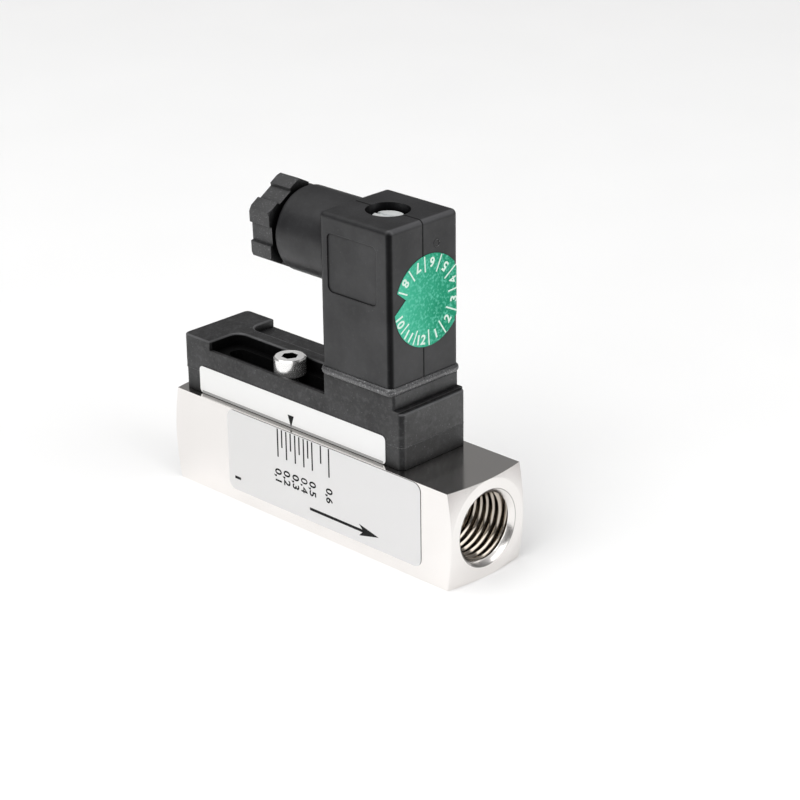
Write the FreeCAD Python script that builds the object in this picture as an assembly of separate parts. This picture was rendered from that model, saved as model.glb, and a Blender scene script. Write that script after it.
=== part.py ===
"""In-line flow switch: square threaded body, sprung float, sliding reed-switch housing, cable plug.

Millimetres. The origin is the centre of the inlet port's mouth, on the flow axis. +X is the way
the liquid flows, +Z is up towards the switch housing, and the scale faces -Y.
"""
import FreeCAD
import Part
import math
import os

from FreeCAD import Vector

# Driving dimensions: body
BAR_WIDTH = 17.0
BODY_LENGTH = 66.0
END_CHAMFER_ANGLE = 15.0
PORT_RADIUS = 13.157 / 2
PORT_DEPTH = 12.0
PORT_MOUTH_CHAMFER = 0.1
BORE_RADIUS = 4.0
LABEL_THICKNESS = 0.1
SCALE_START = 13.7
SCALE_LENGTH = 45.6
SCALE_HEIGHT = 14.78
SCALE_TOP_MARGIN = 0.12
SCALE_CORNER_RADIUS = 1.5

# Driving dimensions: metering insert and float
STOP_GAP = 0.05
SLEEVE_LIP_LENGTH = 1.5
SLEEVE_LIP_RADIUS = 2.2
SLOT_COUNT = 4
SLOT_WIDTH_IN_SLEEVE = 1.6
SLOT_DEPTH_IN_SLEEVE = 0.6
FLOAT_RADIUS = 3.0
FLOAT_CLEARANCE = 0.05
FLOAT_LENGTH = 14.0
FLOAT_NOSE_CHAMFER = 0.9
FLOAT_WALL = 0.7
FLOAT_END_WALL = 1.4
MAGNET_LENGTH = 9.0
SPRING_WIRE_RADIUS = 0.18
SPRING_RADIUS = 1.9
SPRING_TURNS = 5
SPRING_ROOM = 5.343
SPRING_PIP_CLEARANCE = 0.2
SPRING_PIP_LENGTH = 1.6
SEAT_THICKNESS = 1.5
SEAT_RIM = 0.8
SEAT_ARM_WIDTH = 1.0
RING_THICKNESS = 0.8
RING_DEPTH = 0.45
RING_WIDTH = 1.0
RING_GAP = 2.4
RING_LAND = 0.6

# Driving dimensions: switch housing
SLIDE_GAP = 0.05
HOUSING_START = 1.55
HOUSING_LENGTH = 52.45
HOUSING_NEAR_WIDTH = 7.15
HOUSING_FAR_WIDTH = 7.8
HOUSING_CORNER_RADIUS = 1.0
HOUSING_EDGE_RADIUS = 0.35
BASE_HEIGHT = 3.85
BASE_INSET = 0.15
POCKET_FLOOR_HEIGHT = 7.75
LIP_HEIGHT = 0.6
LIP_WIDTH = 0.65
LEDGE_HEIGHT = 8.45
TOP_HEIGHT = 9.95
END_BLOCK_LENGTH = 6.65
POCKET_WIDTH = 6.0
POCKET_CORNER_RADIUS = 2.0
RIB_WIDTH = 2.6
NOTCH_CORNER_RADIUS = 2.3
TOWER_HEIGHT = 2.5
TOWER_LENGTH = 15.9
TOWER_END_STEP = 1.7
END_STEP_LENGTH = 0.8
END_STEP_DEPTH = 0.25
END_STEP_RADIUS = 0.35
TOWER_EDGE_RADIUS = 0.5
RATING_START = 5.5
RATING_LENGTH = 44.8
RATING_HEIGHT = 4.97
RATING_BOTTOM_MARGIN = 0.03
RATING_CORNER_RADIUS = 0.8

# Driving dimensions: clamp screw, M3 with a hexagon socket, and its slot
SCREW_X = 24.4
SCREW_THREAD_RADIUS = 1.5
SCREW_CLEARANCE = 0.05
CAP_HEAD_RADIUS = 2.75
CAP_HEAD_HEIGHT = 3.0
CAP_HEAD_CHAMFER = 0.25
CAP_SCREW_LENGTH = 12.0
CAP_SOCKET_WIDTH = 2.5
CAP_SOCKET_DEPTH = 1.4
CAP_HOLE_EXTRA_DEPTH = 0.15
SLOT_SIDE_CLEARANCE = 0.25
TRAVEL_TO_OUTLET = 12.6
TRAVEL_TO_INLET = 9.0

# Driving dimensions: reed contact, its channel and resin
CHANNEL_WALL = 1.2
CHANNEL_WIDTH = 5.0
CHANNEL_FLOOR = 1.25
CHANNEL_HEIGHT = 5.8
CHANNEL_START_WALL = 3.95
CHANNEL_END_WALL = 3.6
WELL_WALL = 1.6
REED_RADIUS = 1.15
REED_LENGTH = 14.0
REED_X = 26.0
REED_FLOOR_GAP = 0.45
REED_DOME = 0.55
LEAD_RADIUS = 0.25
LEAD_REACH = 2.5
LEAD_RETURN_RISE = 2.8

# Driving dimensions: plug and its contacts
GASKET_THICKNESS = 1.45
GASKET_OVERHANG = 0.4
GASKET_LIP_BEVEL = 0.4
GASKET_OPENING = 11.6
PLUG_FROM_TOWER_START = 8.1
PLUG_WIDTH = 15.7
PLUG_HEIGHT = 26.25
PLUG_WALL = 1.4
PLUG_CORNER_RADIUS = 1.0
PLUG_TOP_RADIUS = 0.9
PANEL_WIDTH = 10.95
PANEL_HEIGHT = 9.9
PANEL_BOTTOM = 13.13
PANEL_SIDE_MARGIN = 1.9
PANEL_DEPTH = 0.2
PANEL_CORNER_RADIUS = 1.0
TOP_RECESS_RADIUS = 3.65
TOP_RECESS_DEPTH = 3.6
RECESS_WALL = 1.3
CONTACT_PITCH = 8.0
BLADE_WIDTH = 2.8
BLADE_THICKNESS = 0.8
BLADE_ABOVE_TOWER = 8.8
BLADE_EMBEDDED = 6.6
EARTH_EMBEDDED = 6.1
BLADE_TIP_CHAMFER = 0.25
BLADE_CLEARANCE = 0.06
INSERT_GAP = 0.05
INSERT_BOTTOM = 0.5
INSERT_HEIGHT = 11.8
CONTACT_WIDTH = 4.2
CONTACT_THICKNESS = 3.0
CONTACT_BOTTOM = 1.6
CONTACT_HEIGHT = 12.0
CONTACT_SLOT_EXTRA = 1.0
TERMINAL_SCREW_RADIUS = 1.2
TERMINAL_SCREW_LENGTH = 3.2
TERMINAL_HEAD_RADIUS = 1.4
TERMINAL_HEAD_HEIGHT = 1.1

# Driving dimensions: central screw, its seal and its threaded insert
CHEESE_HEAD_RADIUS = 2.75
CHEESE_HEAD_HEIGHT = 2.0
CHEESE_HEAD_CHAMFER = 0.2
DRIVER_SLOT_WIDTH = 0.8
DRIVER_SLOT_DEPTH = 0.9
CENTRAL_SCREW_LENGTH = 28.0
SEAL_THICKNESS = 0.5
SEAL_SIDE_GAP = 0.3
SCREW_HOLE_CLEARANCE = 0.25
SCREW_TIP_CLEARANCE = 0.5
THREADED_INSERT_RADIUS = 2.2
THREADED_INSERT_LENGTH = 4.5
THREADED_INSERT_SINK = 0.3
INSERT_FLANGE = 0.35
INSERT_FLANGE_LENGTH = 0.8

# Driving dimensions: gland
GLAND_HEIGHT = 18.95
BARREL_RADIUS = 7.25
BARREL_LENGTH = 11.0
BARREL_EDGE_RADIUS = 0.5
BARREL_WALL = 1.5
BARREL_FLOOR = 0.65
CABLE_WAY_RADIUS = 4.0
NUT_WIDTH = 14.2
NUT_LENGTH = 4.7
NUT_GAP = 1.2
NUT_TURN = 2.0
NUT_RECESS_WIDTH = 3.0
NUT_RECESS_DEPTH = 0.5
NUT_EDGE_CHAMFER = 0.3
NUT_NECK_LENGTH = 5.6
NUT_NECK_CLEARANCE = 0.05
NUT_MOUTH_CHAMFER = 0.8
WASHER_THICKNESS = 0.8
CABLE_ENTRY_RADIUS = 3.6
GLAND_SEAL_BORE_RADIUS = 3.25
GLAND_PART_GAP = 0.1

# Driving dimensions: date sticker
STICKER_RADIUS = 7.7
STICKER_OFFSET = 0.95
STICKER_HEIGHT = 12.7
STICKER_NOTCH_DEPTH = 2.5
STICKER_NOTCH_HALF_WIDTH = 1.9
STICKER_NOTCH_RISE = 1.4

# Worked out: levels and places
HALF_BAR = BAR_WIDTH / 2
BORE_CONE_LENGTH = PORT_RADIUS - BORE_RADIUS
BORE_START = PORT_DEPTH + BORE_CONE_LENGTH
BORE_END = BODY_LENGTH - BORE_START
GUIDE_RADIUS = FLOAT_RADIUS + FLOAT_CLEARANCE
SLEEVE_START = BORE_START + STOP_GAP
FLOAT_START = SLEEVE_START + SLEEVE_LIP_LENGTH + STOP_GAP
FLOAT_END = FLOAT_START + FLOAT_LENGTH
RING_END = BORE_END - RING_LAND
SEAT_END = RING_END - RING_THICKNESS
SEAT_START = SEAT_END - SEAT_THICKNESS
SLEEVE_END = SEAT_START - SPRING_ROOM

UNDERSIDE = HALF_BAR + SLIDE_GAP
PARTING = UNDERSIDE + BASE_HEIGHT
POCKET_FLOOR = UNDERSIDE + POCKET_FLOOR_HEIGHT
LIP_TOP = POCKET_FLOOR + LIP_HEIGHT
LEDGE_TOP = UNDERSIDE + LEDGE_HEIGHT
DECK_TOP = UNDERSIDE + TOP_HEIGHT
TOWER_TOP = DECK_TOP + TOWER_HEIGHT
HOUSING_END = HOUSING_START + HOUSING_LENGTH
HOUSING_NEAR = -HOUSING_NEAR_WIDTH
HOUSING_FAR = HOUSING_FAR_WIDTH
END_STEP_TOP = DECK_TOP - END_STEP_DEPTH
TOWER_END = HOUSING_END - TOWER_END_STEP
TOWER_START = TOWER_END - TOWER_LENGTH
POCKET_START = HOUSING_START + END_BLOCK_LENGTH
POCKET_NEAR = HOUSING_NEAR + LIP_WIDTH
RIB_NEAR = POCKET_NEAR + POCKET_WIDTH
RIB_FAR = RIB_NEAR + RIB_WIDTH
SCREW_Y = (POCKET_NEAR + RIB_NEAR) / 2
SHANK_RADIUS = SCREW_THREAD_RADIUS - SCREW_CLEARANCE
SLOT_HALF_WIDTH = SHANK_RADIUS + SLOT_SIDE_CLEARANCE
SLOT_FROM = SCREW_X - TRAVEL_TO_OUTLET
SLOT_TO = SCREW_X + TRAVEL_TO_INLET
HEAD_SEAT = POCKET_FLOOR + SLIDE_GAP

CHANNEL_NEAR = RIB_NEAR + CHANNEL_WALL
CHANNEL_FAR = CHANNEL_NEAR + CHANNEL_WIDTH
CHANNEL_BOTTOM = UNDERSIDE + CHANNEL_FLOOR
CHANNEL_TOP = CHANNEL_BOTTOM + CHANNEL_HEIGHT
CHANNEL_START = HOUSING_START + CHANNEL_START_WALL
CHANNEL_END = HOUSING_END - CHANNEL_END_WALL
WELL_START = TOWER_START + WELL_WALL
REED_Y = (CHANNEL_NEAR + CHANNEL_FAR) / 2
REED_Z = CHANNEL_BOTTOM + REED_FLOOR_GAP + REED_RADIUS

PLUG_X = TOWER_START + PLUG_FROM_TOWER_START
HALF_PLUG = PLUG_WIDTH / 2
PLUG_START = PLUG_X - HALF_PLUG
PLUG_END = PLUG_X + HALF_PLUG
PLUG_BOTTOM = TOWER_TOP + GASKET_THICKNESS
PLUG_TOP = PLUG_BOTTOM + PLUG_HEIGHT
HALF_CAVITY = HALF_PLUG - PLUG_WALL
CAVITY_TOP = PLUG_TOP - PLUG_WALL
RECESS_FLOOR = PLUG_TOP - TOP_RECESS_DEPTH
BOSS_BOTTOM = RECESS_FLOOR - RECESS_WALL
INSERT_FROM = PLUG_BOTTOM + INSERT_BOTTOM
CONTACT_FROM = PLUG_BOTTOM + CONTACT_BOTTOM
CONTACT_TO = CONTACT_FROM + CONTACT_HEIGHT
BLADE_TIP = TOWER_TOP + BLADE_ABOVE_TOWER
CENTRAL_SCREW_SEAT = RECESS_FLOOR + SEAL_THICKNESS + STOP_GAP
CENTRAL_SCREW_TIP = CENTRAL_SCREW_SEAT - CENTRAL_SCREW_LENGTH

GLAND_Z = PLUG_BOTTOM + GLAND_HEIGHT
BARREL_END = PLUG_START - BARREL_LENGTH
BARREL_BORE_RADIUS = BARREL_RADIUS - BARREL_WALL
BARREL_BORE_END = PLUG_START - BARREL_FLOOR
NUT_END = BARREL_END - NUT_GAP
NUT_START = NUT_END - NUT_LENGTH
NECK_RADIUS = BARREL_BORE_RADIUS - NUT_NECK_CLEARANCE
NECK_END = NUT_END + NUT_NECK_LENGTH
WASHER_START = NECK_END + STOP_GAP
WASHER_END = WASHER_START + WASHER_THICKNESS
GLAND_SEAL_START = WASHER_END + GLAND_PART_GAP

# Long enough to cut right through any piece
THROUGH = 200.0

# Degrees from one corner of a hexagon to the next
HEXAGON_STEP = 60.0
AXIS_X = Vector(1, 0, 0)
AXIS_Y = Vector(0, 1, 0)
AXIS_Z = Vector(0, 0, 1)


def block(x_range, y_range, z_range):
    """A box from three (low, high) ranges."""
    size = [high - low for low, high in (x_range, y_range, z_range)]
    return Part.makeBox(*size, Vector(x_range[0], y_range[0], z_range[0]))


def rod_x(radius, x_from, x_to, y=0.0, z=0.0):
    """A cylinder along X."""
    return Part.makeCylinder(radius, x_to - x_from, Vector(x_from, y, z), AXIS_X)


def rod_z(radius, z_from, z_to, x=0.0, y=0.0):
    """A cylinder along Z."""
    return Part.makeCylinder(radius, z_to - z_from, Vector(x, y, z_from), AXIS_Z)


def turned_x(profile, z=0.0):
    """A solid turned about the X direction at height z, from (x, radius) points."""
    points = [Vector(x, 0, z + radius) for x, radius in profile]
    face = Part.Face(Part.makePolygon(points + points[:1]))
    return face.revolve(Vector(0, 0, z), AXIS_X, 360)


def turned_z(profile, x=0.0, y=0.0):
    """A solid turned about the Z direction at (x, y), from (radius, z) points."""
    points = [Vector(x + radius, y, z) for radius, z in profile]
    face = Part.Face(Part.makePolygon(points + points[:1]))
    return face.revolve(Vector(x, y, 0), AXIS_Z, 360)


def stadium(x_from, x_to, y, half_width, z_from, z_to):
    """A slot-shaped prism along X: x_from and x_to are the centres of its round ends."""
    middle = block((x_from, x_to), (y - half_width, y + half_width), (z_from, z_to))
    ends = [rod_z(half_width, z_from, z_to, x, y) for x in (x_from, x_to)]
    return middle.fuse(ends).removeSplitter()


def fillet_where(shape, radius, test):
    """Round the edges whose end points and middle all pass the test."""
    picked = []
    for edge in shape.Edges:
        middle = edge.valueAt((edge.FirstParameter + edge.LastParameter) / 2)
        spots = [vertex.Point for vertex in edge.Vertexes] + [middle]
        if all(test(spot) for spot in spots):
            picked.append(edge)
    return shape.makeFillet(radius, picked)


def chamfer_where(shape, width, test):
    """Bevel the edges whose end points and middle all pass the test."""
    picked = []
    for edge in shape.Edges:
        middle = edge.valueAt((edge.FirstParameter + edge.LastParameter) / 2)
        spots = [vertex.Point for vertex in edge.Vertexes] + [middle]
        if all(test(spot) for spot in spots):
            picked.append(edge)
    return shape.makeChamfer(width, picked)


def near(value, target):
    """Whether two lengths are equal but for rounding."""
    return abs(value - target) < 1e-4


def rounded_block(x_range, y_range, z_range, radius):
    """A box with its four upright edges rounded."""
    shape = block(x_range, y_range, z_range)
    upright = [edge for edge in shape.Edges if near(edge.Vertexes[0].X, edge.Vertexes[1].X)
               and near(edge.Vertexes[0].Y, edge.Vertexes[1].Y)]
    return shape.makeFillet(radius, upright)


def plate_xz(x_range, z_range, y, thickness, radius):
    """A thin plate with round corners on a face that looks along -Y; y is that face."""
    shape = block(x_range, (y - thickness, y), z_range)
    corners = [edge for edge in shape.Edges if near(edge.Vertexes[0].X, edge.Vertexes[1].X)
               and near(edge.Vertexes[0].Z, edge.Vertexes[1].Z)]
    return shape.makeFillet(radius, corners)


def hexagon_prism(width, place, axis, length, turn=0.0):
    """A hexagonal prism with the given width across flats."""
    reach = width / 2 / math.cos(math.radians(30))
    side = AXIS_Y if near(abs(axis.x), 1) else AXIS_X
    points = []
    for step in range(6):
        spin = FreeCAD.Rotation(axis, HEXAGON_STEP * step + turn)
        points.append(place + spin.multVec(side * reach))
    face = Part.Face(Part.makePolygon(points + points[:1]))
    return face.extrude(axis * length)


def wire_run(points, radius):
    """A six-sided wire along straight runs with mitred corners."""
    run = (points[1] - points[0]).normalize()
    spoke = run.cross(AXIS_Z).normalize() * radius
    rim = []
    for step in range(6):
        rim.append(points[0] + FreeCAD.Rotation(run, HEXAGON_STEP * step).multVec(spoke))
    section = Part.makePolygon(rim + rim[:1])
    return Part.makePolygon(points).makePipeShell([section], True, False, 1)


# Body and flow path

def make_flow_body():
    """Square bar with coned ends, a port in each end, the bore, ring groove and clamp hole."""
    cone = math.tan(math.radians(END_CHAMFER_ANGLE))
    corner = HALF_BAR * math.sqrt(2) + 1
    run = (corner - HALF_BAR) * cone
    envelope = turned_x([
        (0, 0), (0, HALF_BAR), (run, corner),
        (BODY_LENGTH - run, corner), (BODY_LENGTH, HALF_BAR), (BODY_LENGTH, 0)])
    bar = block((0, BODY_LENGTH), (-HALF_BAR, HALF_BAR), (-HALF_BAR, HALF_BAR))
    body = bar.common(envelope)
    mouth = PORT_RADIUS + PORT_MOUTH_CHAMFER
    flow_path = turned_x([
        (0, 0), (0, mouth), (PORT_MOUTH_CHAMFER, PORT_RADIUS), (PORT_DEPTH, PORT_RADIUS),
        (BORE_START, BORE_RADIUS), (BORE_END, BORE_RADIUS),
        (BODY_LENGTH - PORT_DEPTH, PORT_RADIUS), (BODY_LENGTH - PORT_MOUTH_CHAMFER, PORT_RADIUS),
        (BODY_LENGTH, mouth), (BODY_LENGTH, 0)])
    groove = rod_x(BORE_RADIUS + RING_DEPTH, SEAT_END, RING_END)
    hole_bottom = HEAD_SEAT - CAP_SCREW_LENGTH - CAP_HOLE_EXTRA_DEPTH
    hole = rod_z(SCREW_THREAD_RADIUS, hole_bottom, THROUGH, SCREW_X, SCREW_Y)
    return body.cut([flow_path, groove, hole])


def make_scale_label():
    """Foil plate on the body's near side."""
    top = HALF_BAR - SCALE_TOP_MARGIN
    return plate_xz((SCALE_START, SCALE_START + SCALE_LENGTH), (top - SCALE_HEIGHT, top),
                    -HALF_BAR, LABEL_THICKNESS, SCALE_CORNER_RADIUS)


def make_metering_sleeve():
    """Pressed-in sleeve: an inlet lip that stops the float and slots that deepen downstream."""
    sleeve = turned_x([
        (SLEEVE_START, SLEEVE_LIP_RADIUS), (SLEEVE_START, BORE_RADIUS), (SLEEVE_END, BORE_RADIUS),
        (SLEEVE_END, GUIDE_RADIUS), (FLOAT_START - STOP_GAP, GUIDE_RADIUS),
        (FLOAT_START - STOP_GAP, SLEEVE_LIP_RADIUS)])
    full_depth = FLOAT_START + FLOAT_LENGTH
    half = SLOT_WIDTH_IN_SLEEVE / 2
    floor = GUIDE_RADIUS + SLOT_DEPTH_IN_SLEEVE
    points = [Vector(FLOAT_START, -half, 0), Vector(FLOAT_START, -half, GUIDE_RADIUS),
              Vector(full_depth, -half, floor), Vector(SLEEVE_END, -half, floor),
              Vector(SLEEVE_END, -half, 0)]
    wedge = Part.Face(Part.makePolygon(points + points[:1])).extrude(AXIS_Y * SLOT_WIDTH_IN_SLEEVE)
    slots = []
    for step in range(SLOT_COUNT):
        slot = wedge.copy()
        slot.rotate(Vector(0, 0, 0), AXIS_X, step * 360 / SLOT_COUNT + 180 / SLOT_COUNT)
        slots.append(slot)
    return sleeve.cut(slots)


def make_float_shell():
    """Float body: a cup, closed and bevelled at the upstream end."""
    inner = FLOAT_RADIUS - FLOAT_WALL
    cup_floor = FLOAT_START + FLOAT_END_WALL
    return turned_x([
        (FLOAT_START, 0), (FLOAT_START, FLOAT_RADIUS - FLOAT_NOSE_CHAMFER),
        (FLOAT_START + FLOAT_NOSE_CHAMFER, FLOAT_RADIUS), (FLOAT_END, FLOAT_RADIUS),
        (FLOAT_END, inner), (cup_floor, inner), (cup_floor, 0)])


def make_float_magnet():
    """Bar magnet in the cup."""
    start = FLOAT_START + FLOAT_END_WALL
    return rod_x(FLOAT_RADIUS - FLOAT_WALL, start, start + MAGNET_LENGTH)


def make_float_plug():
    """Cap behind the magnet, with the pip that centres the spring."""
    start = FLOAT_START + FLOAT_END_WALL + MAGNET_LENGTH
    pip = SPRING_RADIUS - SPRING_WIRE_RADIUS - SPRING_PIP_CLEARANCE
    cap = FLOAT_RADIUS - FLOAT_WALL
    return turned_x([(start, 0), (start, cap), (FLOAT_END, cap), (FLOAT_END, pip),
                     (FLOAT_END + SPRING_PIP_LENGTH, pip), (FLOAT_END + SPRING_PIP_LENGTH, 0)])


def make_return_spring():
    """Open-coiled spring of six-sided wire between the float's cap and the seat."""
    start = FLOAT_END + SPRING_WIRE_RADIUS
    length = SEAT_START - FLOAT_END - 2 * SPRING_WIRE_RADIUS
    helix = Part.makeHelix(length / SPRING_TURNS, length, SPRING_RADIUS)
    rim = []
    for step in range(6):
        spoke = FreeCAD.Rotation(AXIS_Y, HEXAGON_STEP * step).multVec(AXIS_X * SPRING_WIRE_RADIUS)
        rim.append(Vector(SPRING_RADIUS, 0, 0) + spoke)
    spring = Part.Wire(helix).makePipeShell([Part.makePolygon(rim + rim[:1])], True, True)
    spring.rotate(Vector(0, 0, 0), AXIS_Y, 90)
    spring.translate(Vector(start, 0, 0))
    return spring


def make_spring_seat():
    """Rim and hub joined by three arms, so that the liquid passes."""
    rim = rod_x(BORE_RADIUS, SEAT_START, SEAT_END)
    rim = rim.cut(rod_x(BORE_RADIUS - SEAT_RIM, SEAT_START, SEAT_END))
    hub_radius = SPRING_RADIUS - SPRING_WIRE_RADIUS - SPRING_PIP_CLEARANCE
    hub = rod_x(hub_radius, SEAT_START - SPRING_PIP_LENGTH, SEAT_END)
    reach = BORE_RADIUS - SEAT_RIM / 2
    arms = []
    for step in range(3):
        arm = block((SEAT_START, SEAT_END), (0, reach), (-SEAT_ARM_WIDTH / 2, SEAT_ARM_WIDTH / 2))
        arm.rotate(Vector(0, 0, 0), AXIS_X, 120 * step + 30)
        arms.append(arm)
    return rim.fuse([hub] + arms).removeSplitter()


def make_retaining_ring():
    """Open snap ring in the bore's groove."""
    ring = rod_x(BORE_RADIUS + RING_DEPTH, SEAT_END, RING_END)
    ring = ring.cut(rod_x(BORE_RADIUS + RING_DEPTH - RING_WIDTH, SEAT_END, RING_END))
    gap = block((SEAT_END, RING_END), (-RING_GAP / 2, RING_GAP / 2), (0, BORE_RADIUS + RING_WIDTH))
    return ring.cut(gap)


# Switch housing

def resin_space():
    """The reed contact's channel and the wider well under the tower."""
    levels = (CHANNEL_BOTTOM, CHANNEL_TOP)
    channel = block((CHANNEL_START, CHANNEL_END), (CHANNEL_NEAR, CHANNEL_FAR), levels)
    well = block((WELL_START, CHANNEL_END), (-CHANNEL_FAR, CHANNEL_FAR), levels)
    return channel.fuse(well).removeSplitter()


def screw_slot():
    """The slot that the clamp screw runs in."""
    return stadium(SLOT_FROM, SLOT_TO, SCREW_Y, SLOT_HALF_WIDTH, 0, THROUGH)


def blade_places():
    """Middle of each flat pin, and whether its wide side runs along X."""
    half_pitch = CONTACT_PITCH / 2
    return [(PLUG_X, half_pitch, True), (PLUG_X, -half_pitch, True), (PLUG_X - half_pitch, 0, False)]


def blade_block(place, z_range, extra=0.0):
    """A block with a flat pin's section, grown by extra on every side."""
    x, y, wide_along_x = place
    half_wide = BLADE_WIDTH / 2 + extra
    half_thin = BLADE_THICKNESS / 2 + extra
    half_x, half_y = (half_wide, half_thin) if wide_along_x else (half_thin, half_wide)
    return block((x - half_x, x + half_x), (y - half_y, y + half_y), z_range)


def make_housing_base():
    """Lower moulding: slides on the body, slotted for the clamp screw, open to the resin."""
    base = rounded_block((HOUSING_START + BASE_INSET, HOUSING_END), (HOUSING_NEAR, HOUSING_FAR),
                         (UNDERSIDE, PARTING), HOUSING_CORNER_RADIUS)
    return base.cut([screw_slot(), resin_space()])


def pocket_cutter(y_from, z_from):
    """Space over the pocket: open to the near side from y_from, one round corner at the rib."""
    shape = block((POCKET_START, TOWER_START), (y_from, RIB_NEAR), (z_from, DECK_TOP + 1))
    return fillet_where(shape, POCKET_CORNER_RADIUS,
                        lambda p: near(p.x, POCKET_START) and near(p.y, RIB_NEAR))


def notch_cutter():
    """Space over the far ledge, with one round corner where it meets the rib."""
    shape = block((POCKET_START, TOWER_START), (RIB_FAR, HOUSING_FAR + 1), (LEDGE_TOP, DECK_TOP + 1))
    return fillet_where(shape, NOTCH_CORNER_RADIUS,
                        lambda p: near(p.x, POCKET_START) and near(p.y, RIB_FAR))


def make_switch_housing():
    """Upper moulding: end block, screw pocket, rib, far ledge and the plug's tower."""
    deck = rounded_block((HOUSING_START, HOUSING_END), (HOUSING_NEAR, HOUSING_FAR),
                         (PARTING, DECK_TOP), HOUSING_CORNER_RADIUS)
    deck = deck.cut(block((HOUSING_END - END_STEP_LENGTH, THROUGH), (-THROUGH, THROUGH),
                          (END_STEP_TOP, THROUGH)))
    tower = block((TOWER_START, TOWER_END), (HOUSING_NEAR, HOUSING_FAR), (DECK_TOP - 1, TOWER_TOP))
    shape = deck.fuse(tower)
    shape = shape.cut([pocket_cutter(HOUSING_NEAR - 1, LIP_TOP),
                       pocket_cutter(POCKET_NEAR, POCKET_FLOOR), notch_cutter()])
    shape = shape.removeSplitter()
    shape = fillet_where(shape, HOUSING_EDGE_RADIUS,
                         lambda p: near(p.z, DECK_TOP) and p.x < TOWER_START + 1e-3
                         and not (near(p.x, TOWER_START) and not RIB_NEAR - 1e-3 < p.y < RIB_FAR + 1e-3))
    shape = fillet_where(shape, TOWER_EDGE_RADIUS,
                         lambda p: near(p.x, TOWER_END) and p.z > DECK_TOP - 1e-3
                         and (near(p.y, HOUSING_NEAR) or near(p.y, HOUSING_FAR)))
    shape = fillet_where(shape, END_STEP_RADIUS,
                         lambda p: near(p.z, END_STEP_TOP) and near(p.x, HOUSING_END))
    blades = [blade_block(place, (CHANNEL_BOTTOM, THROUGH)) for place in blade_places()]
    inner = [screw_slot(), resin_space(), threaded_insert_envelope(), screw_tip_space()]
    return shape.cut(inner + blades)


def make_rating_label():
    """Foil plate on the housing's near side, with the set-point pointer."""
    bottom = UNDERSIDE + RATING_BOTTOM_MARGIN
    return plate_xz((RATING_START, RATING_START + RATING_LENGTH), (bottom, bottom + RATING_HEIGHT),
                    HOUSING_NEAR, LABEL_THICKNESS, RATING_CORNER_RADIUS)


def make_clamp_screw():
    """Socket cap screw through the slot into the body."""
    shank_end = HEAD_SEAT - CAP_SCREW_LENGTH
    head_top = HEAD_SEAT + CAP_HEAD_HEIGHT
    screw = turned_z([
        (0, shank_end), (SHANK_RADIUS - CAP_HEAD_CHAMFER, shank_end),
        (SHANK_RADIUS, shank_end + CAP_HEAD_CHAMFER), (SHANK_RADIUS, HEAD_SEAT),
        (CAP_HEAD_RADIUS, HEAD_SEAT), (CAP_HEAD_RADIUS, head_top - CAP_HEAD_CHAMFER),
        (CAP_HEAD_RADIUS - CAP_HEAD_CHAMFER, head_top), (0, head_top)], SCREW_X, SCREW_Y)
    place = Vector(SCREW_X, SCREW_Y, head_top - CAP_SOCKET_DEPTH)
    return screw.cut(hexagon_prism(CAP_SOCKET_WIDTH, place, AXIS_Z, CAP_SOCKET_DEPTH))


def make_reed_capsule():
    """Glass tube of the reed contact, with coned ends."""
    back = REED_X - REED_LENGTH / 2
    front = REED_X + REED_LENGTH / 2
    neck = REED_RADIUS - REED_DOME
    shape = turned_x([
        (back, 0), (back, neck), (back + REED_DOME, REED_RADIUS),
        (front - REED_DOME, REED_RADIUS), (front, neck), (front, 0)], REED_Z)
    shape.translate(Vector(0, REED_Y, 0))
    return shape


def make_reed_leads():
    """Both wires, from the glass to the two flat pins."""
    pin_side = PLUG_X - BLADE_WIDTH / 2
    half_pitch = CONTACT_PITCH / 2
    solder_z = TOWER_TOP - BLADE_EMBEDDED + LEAD_RADIUS
    front = REED_X + REED_LENGTH / 2
    back = REED_X - REED_LENGTH / 2
    riser = WELL_START + LEAD_REACH
    return_z = REED_Z + LEAD_RETURN_RISE
    crossing = WELL_START + 2 * LEAD_RADIUS
    short = wire_run([
        Vector(front, REED_Y, REED_Z), Vector(riser, REED_Y, REED_Z),
        Vector(riser, half_pitch, solder_z), Vector(pin_side, half_pitch, solder_z)], LEAD_RADIUS)
    long = wire_run([
        Vector(back, REED_Y, REED_Z), Vector(back - LEAD_REACH, REED_Y, REED_Z),
        Vector(back - LEAD_REACH, REED_Y, return_z), Vector(crossing, REED_Y, return_z),
        Vector(crossing, -half_pitch, return_z), Vector(pin_side, -half_pitch, solder_z)],
        LEAD_RADIUS)
    pins = make_contact_pins()
    return Part.makeCompound([wire.cut(pins) for wire in (short, long)])


def make_potting():
    """Resin round the contact, its wires and the pins' ends."""
    solids = [make_reed_capsule(), make_reed_leads(), make_contact_pins(), make_earth_pin(),
              screw_tip_space()]
    return resin_space().cut(solids)


def screw_tip_space():
    """Room that the central screw's end needs in the tower."""
    bottom = CENTRAL_SCREW_TIP - SCREW_TIP_CLEARANCE
    return rod_z(SHANK_RADIUS + SCREW_HOLE_CLEARANCE, bottom, CENTRAL_SCREW_SEAT, PLUG_X)


def threaded_insert_envelope():
    """Outside of the threaded insert, without its hole."""
    top = TOWER_TOP - THREADED_INSERT_SINK
    bottom = top - THREADED_INSERT_LENGTH
    flange = THREADED_INSERT_RADIUS + INSERT_FLANGE
    return turned_z([
        (0, bottom), (THREADED_INSERT_RADIUS, bottom),
        (THREADED_INSERT_RADIUS, top - INSERT_FLANGE_LENGTH), (flange, top - INSERT_FLANGE_LENGTH),
        (flange, TOWER_TOP), (0, TOWER_TOP)], PLUG_X)


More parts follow.
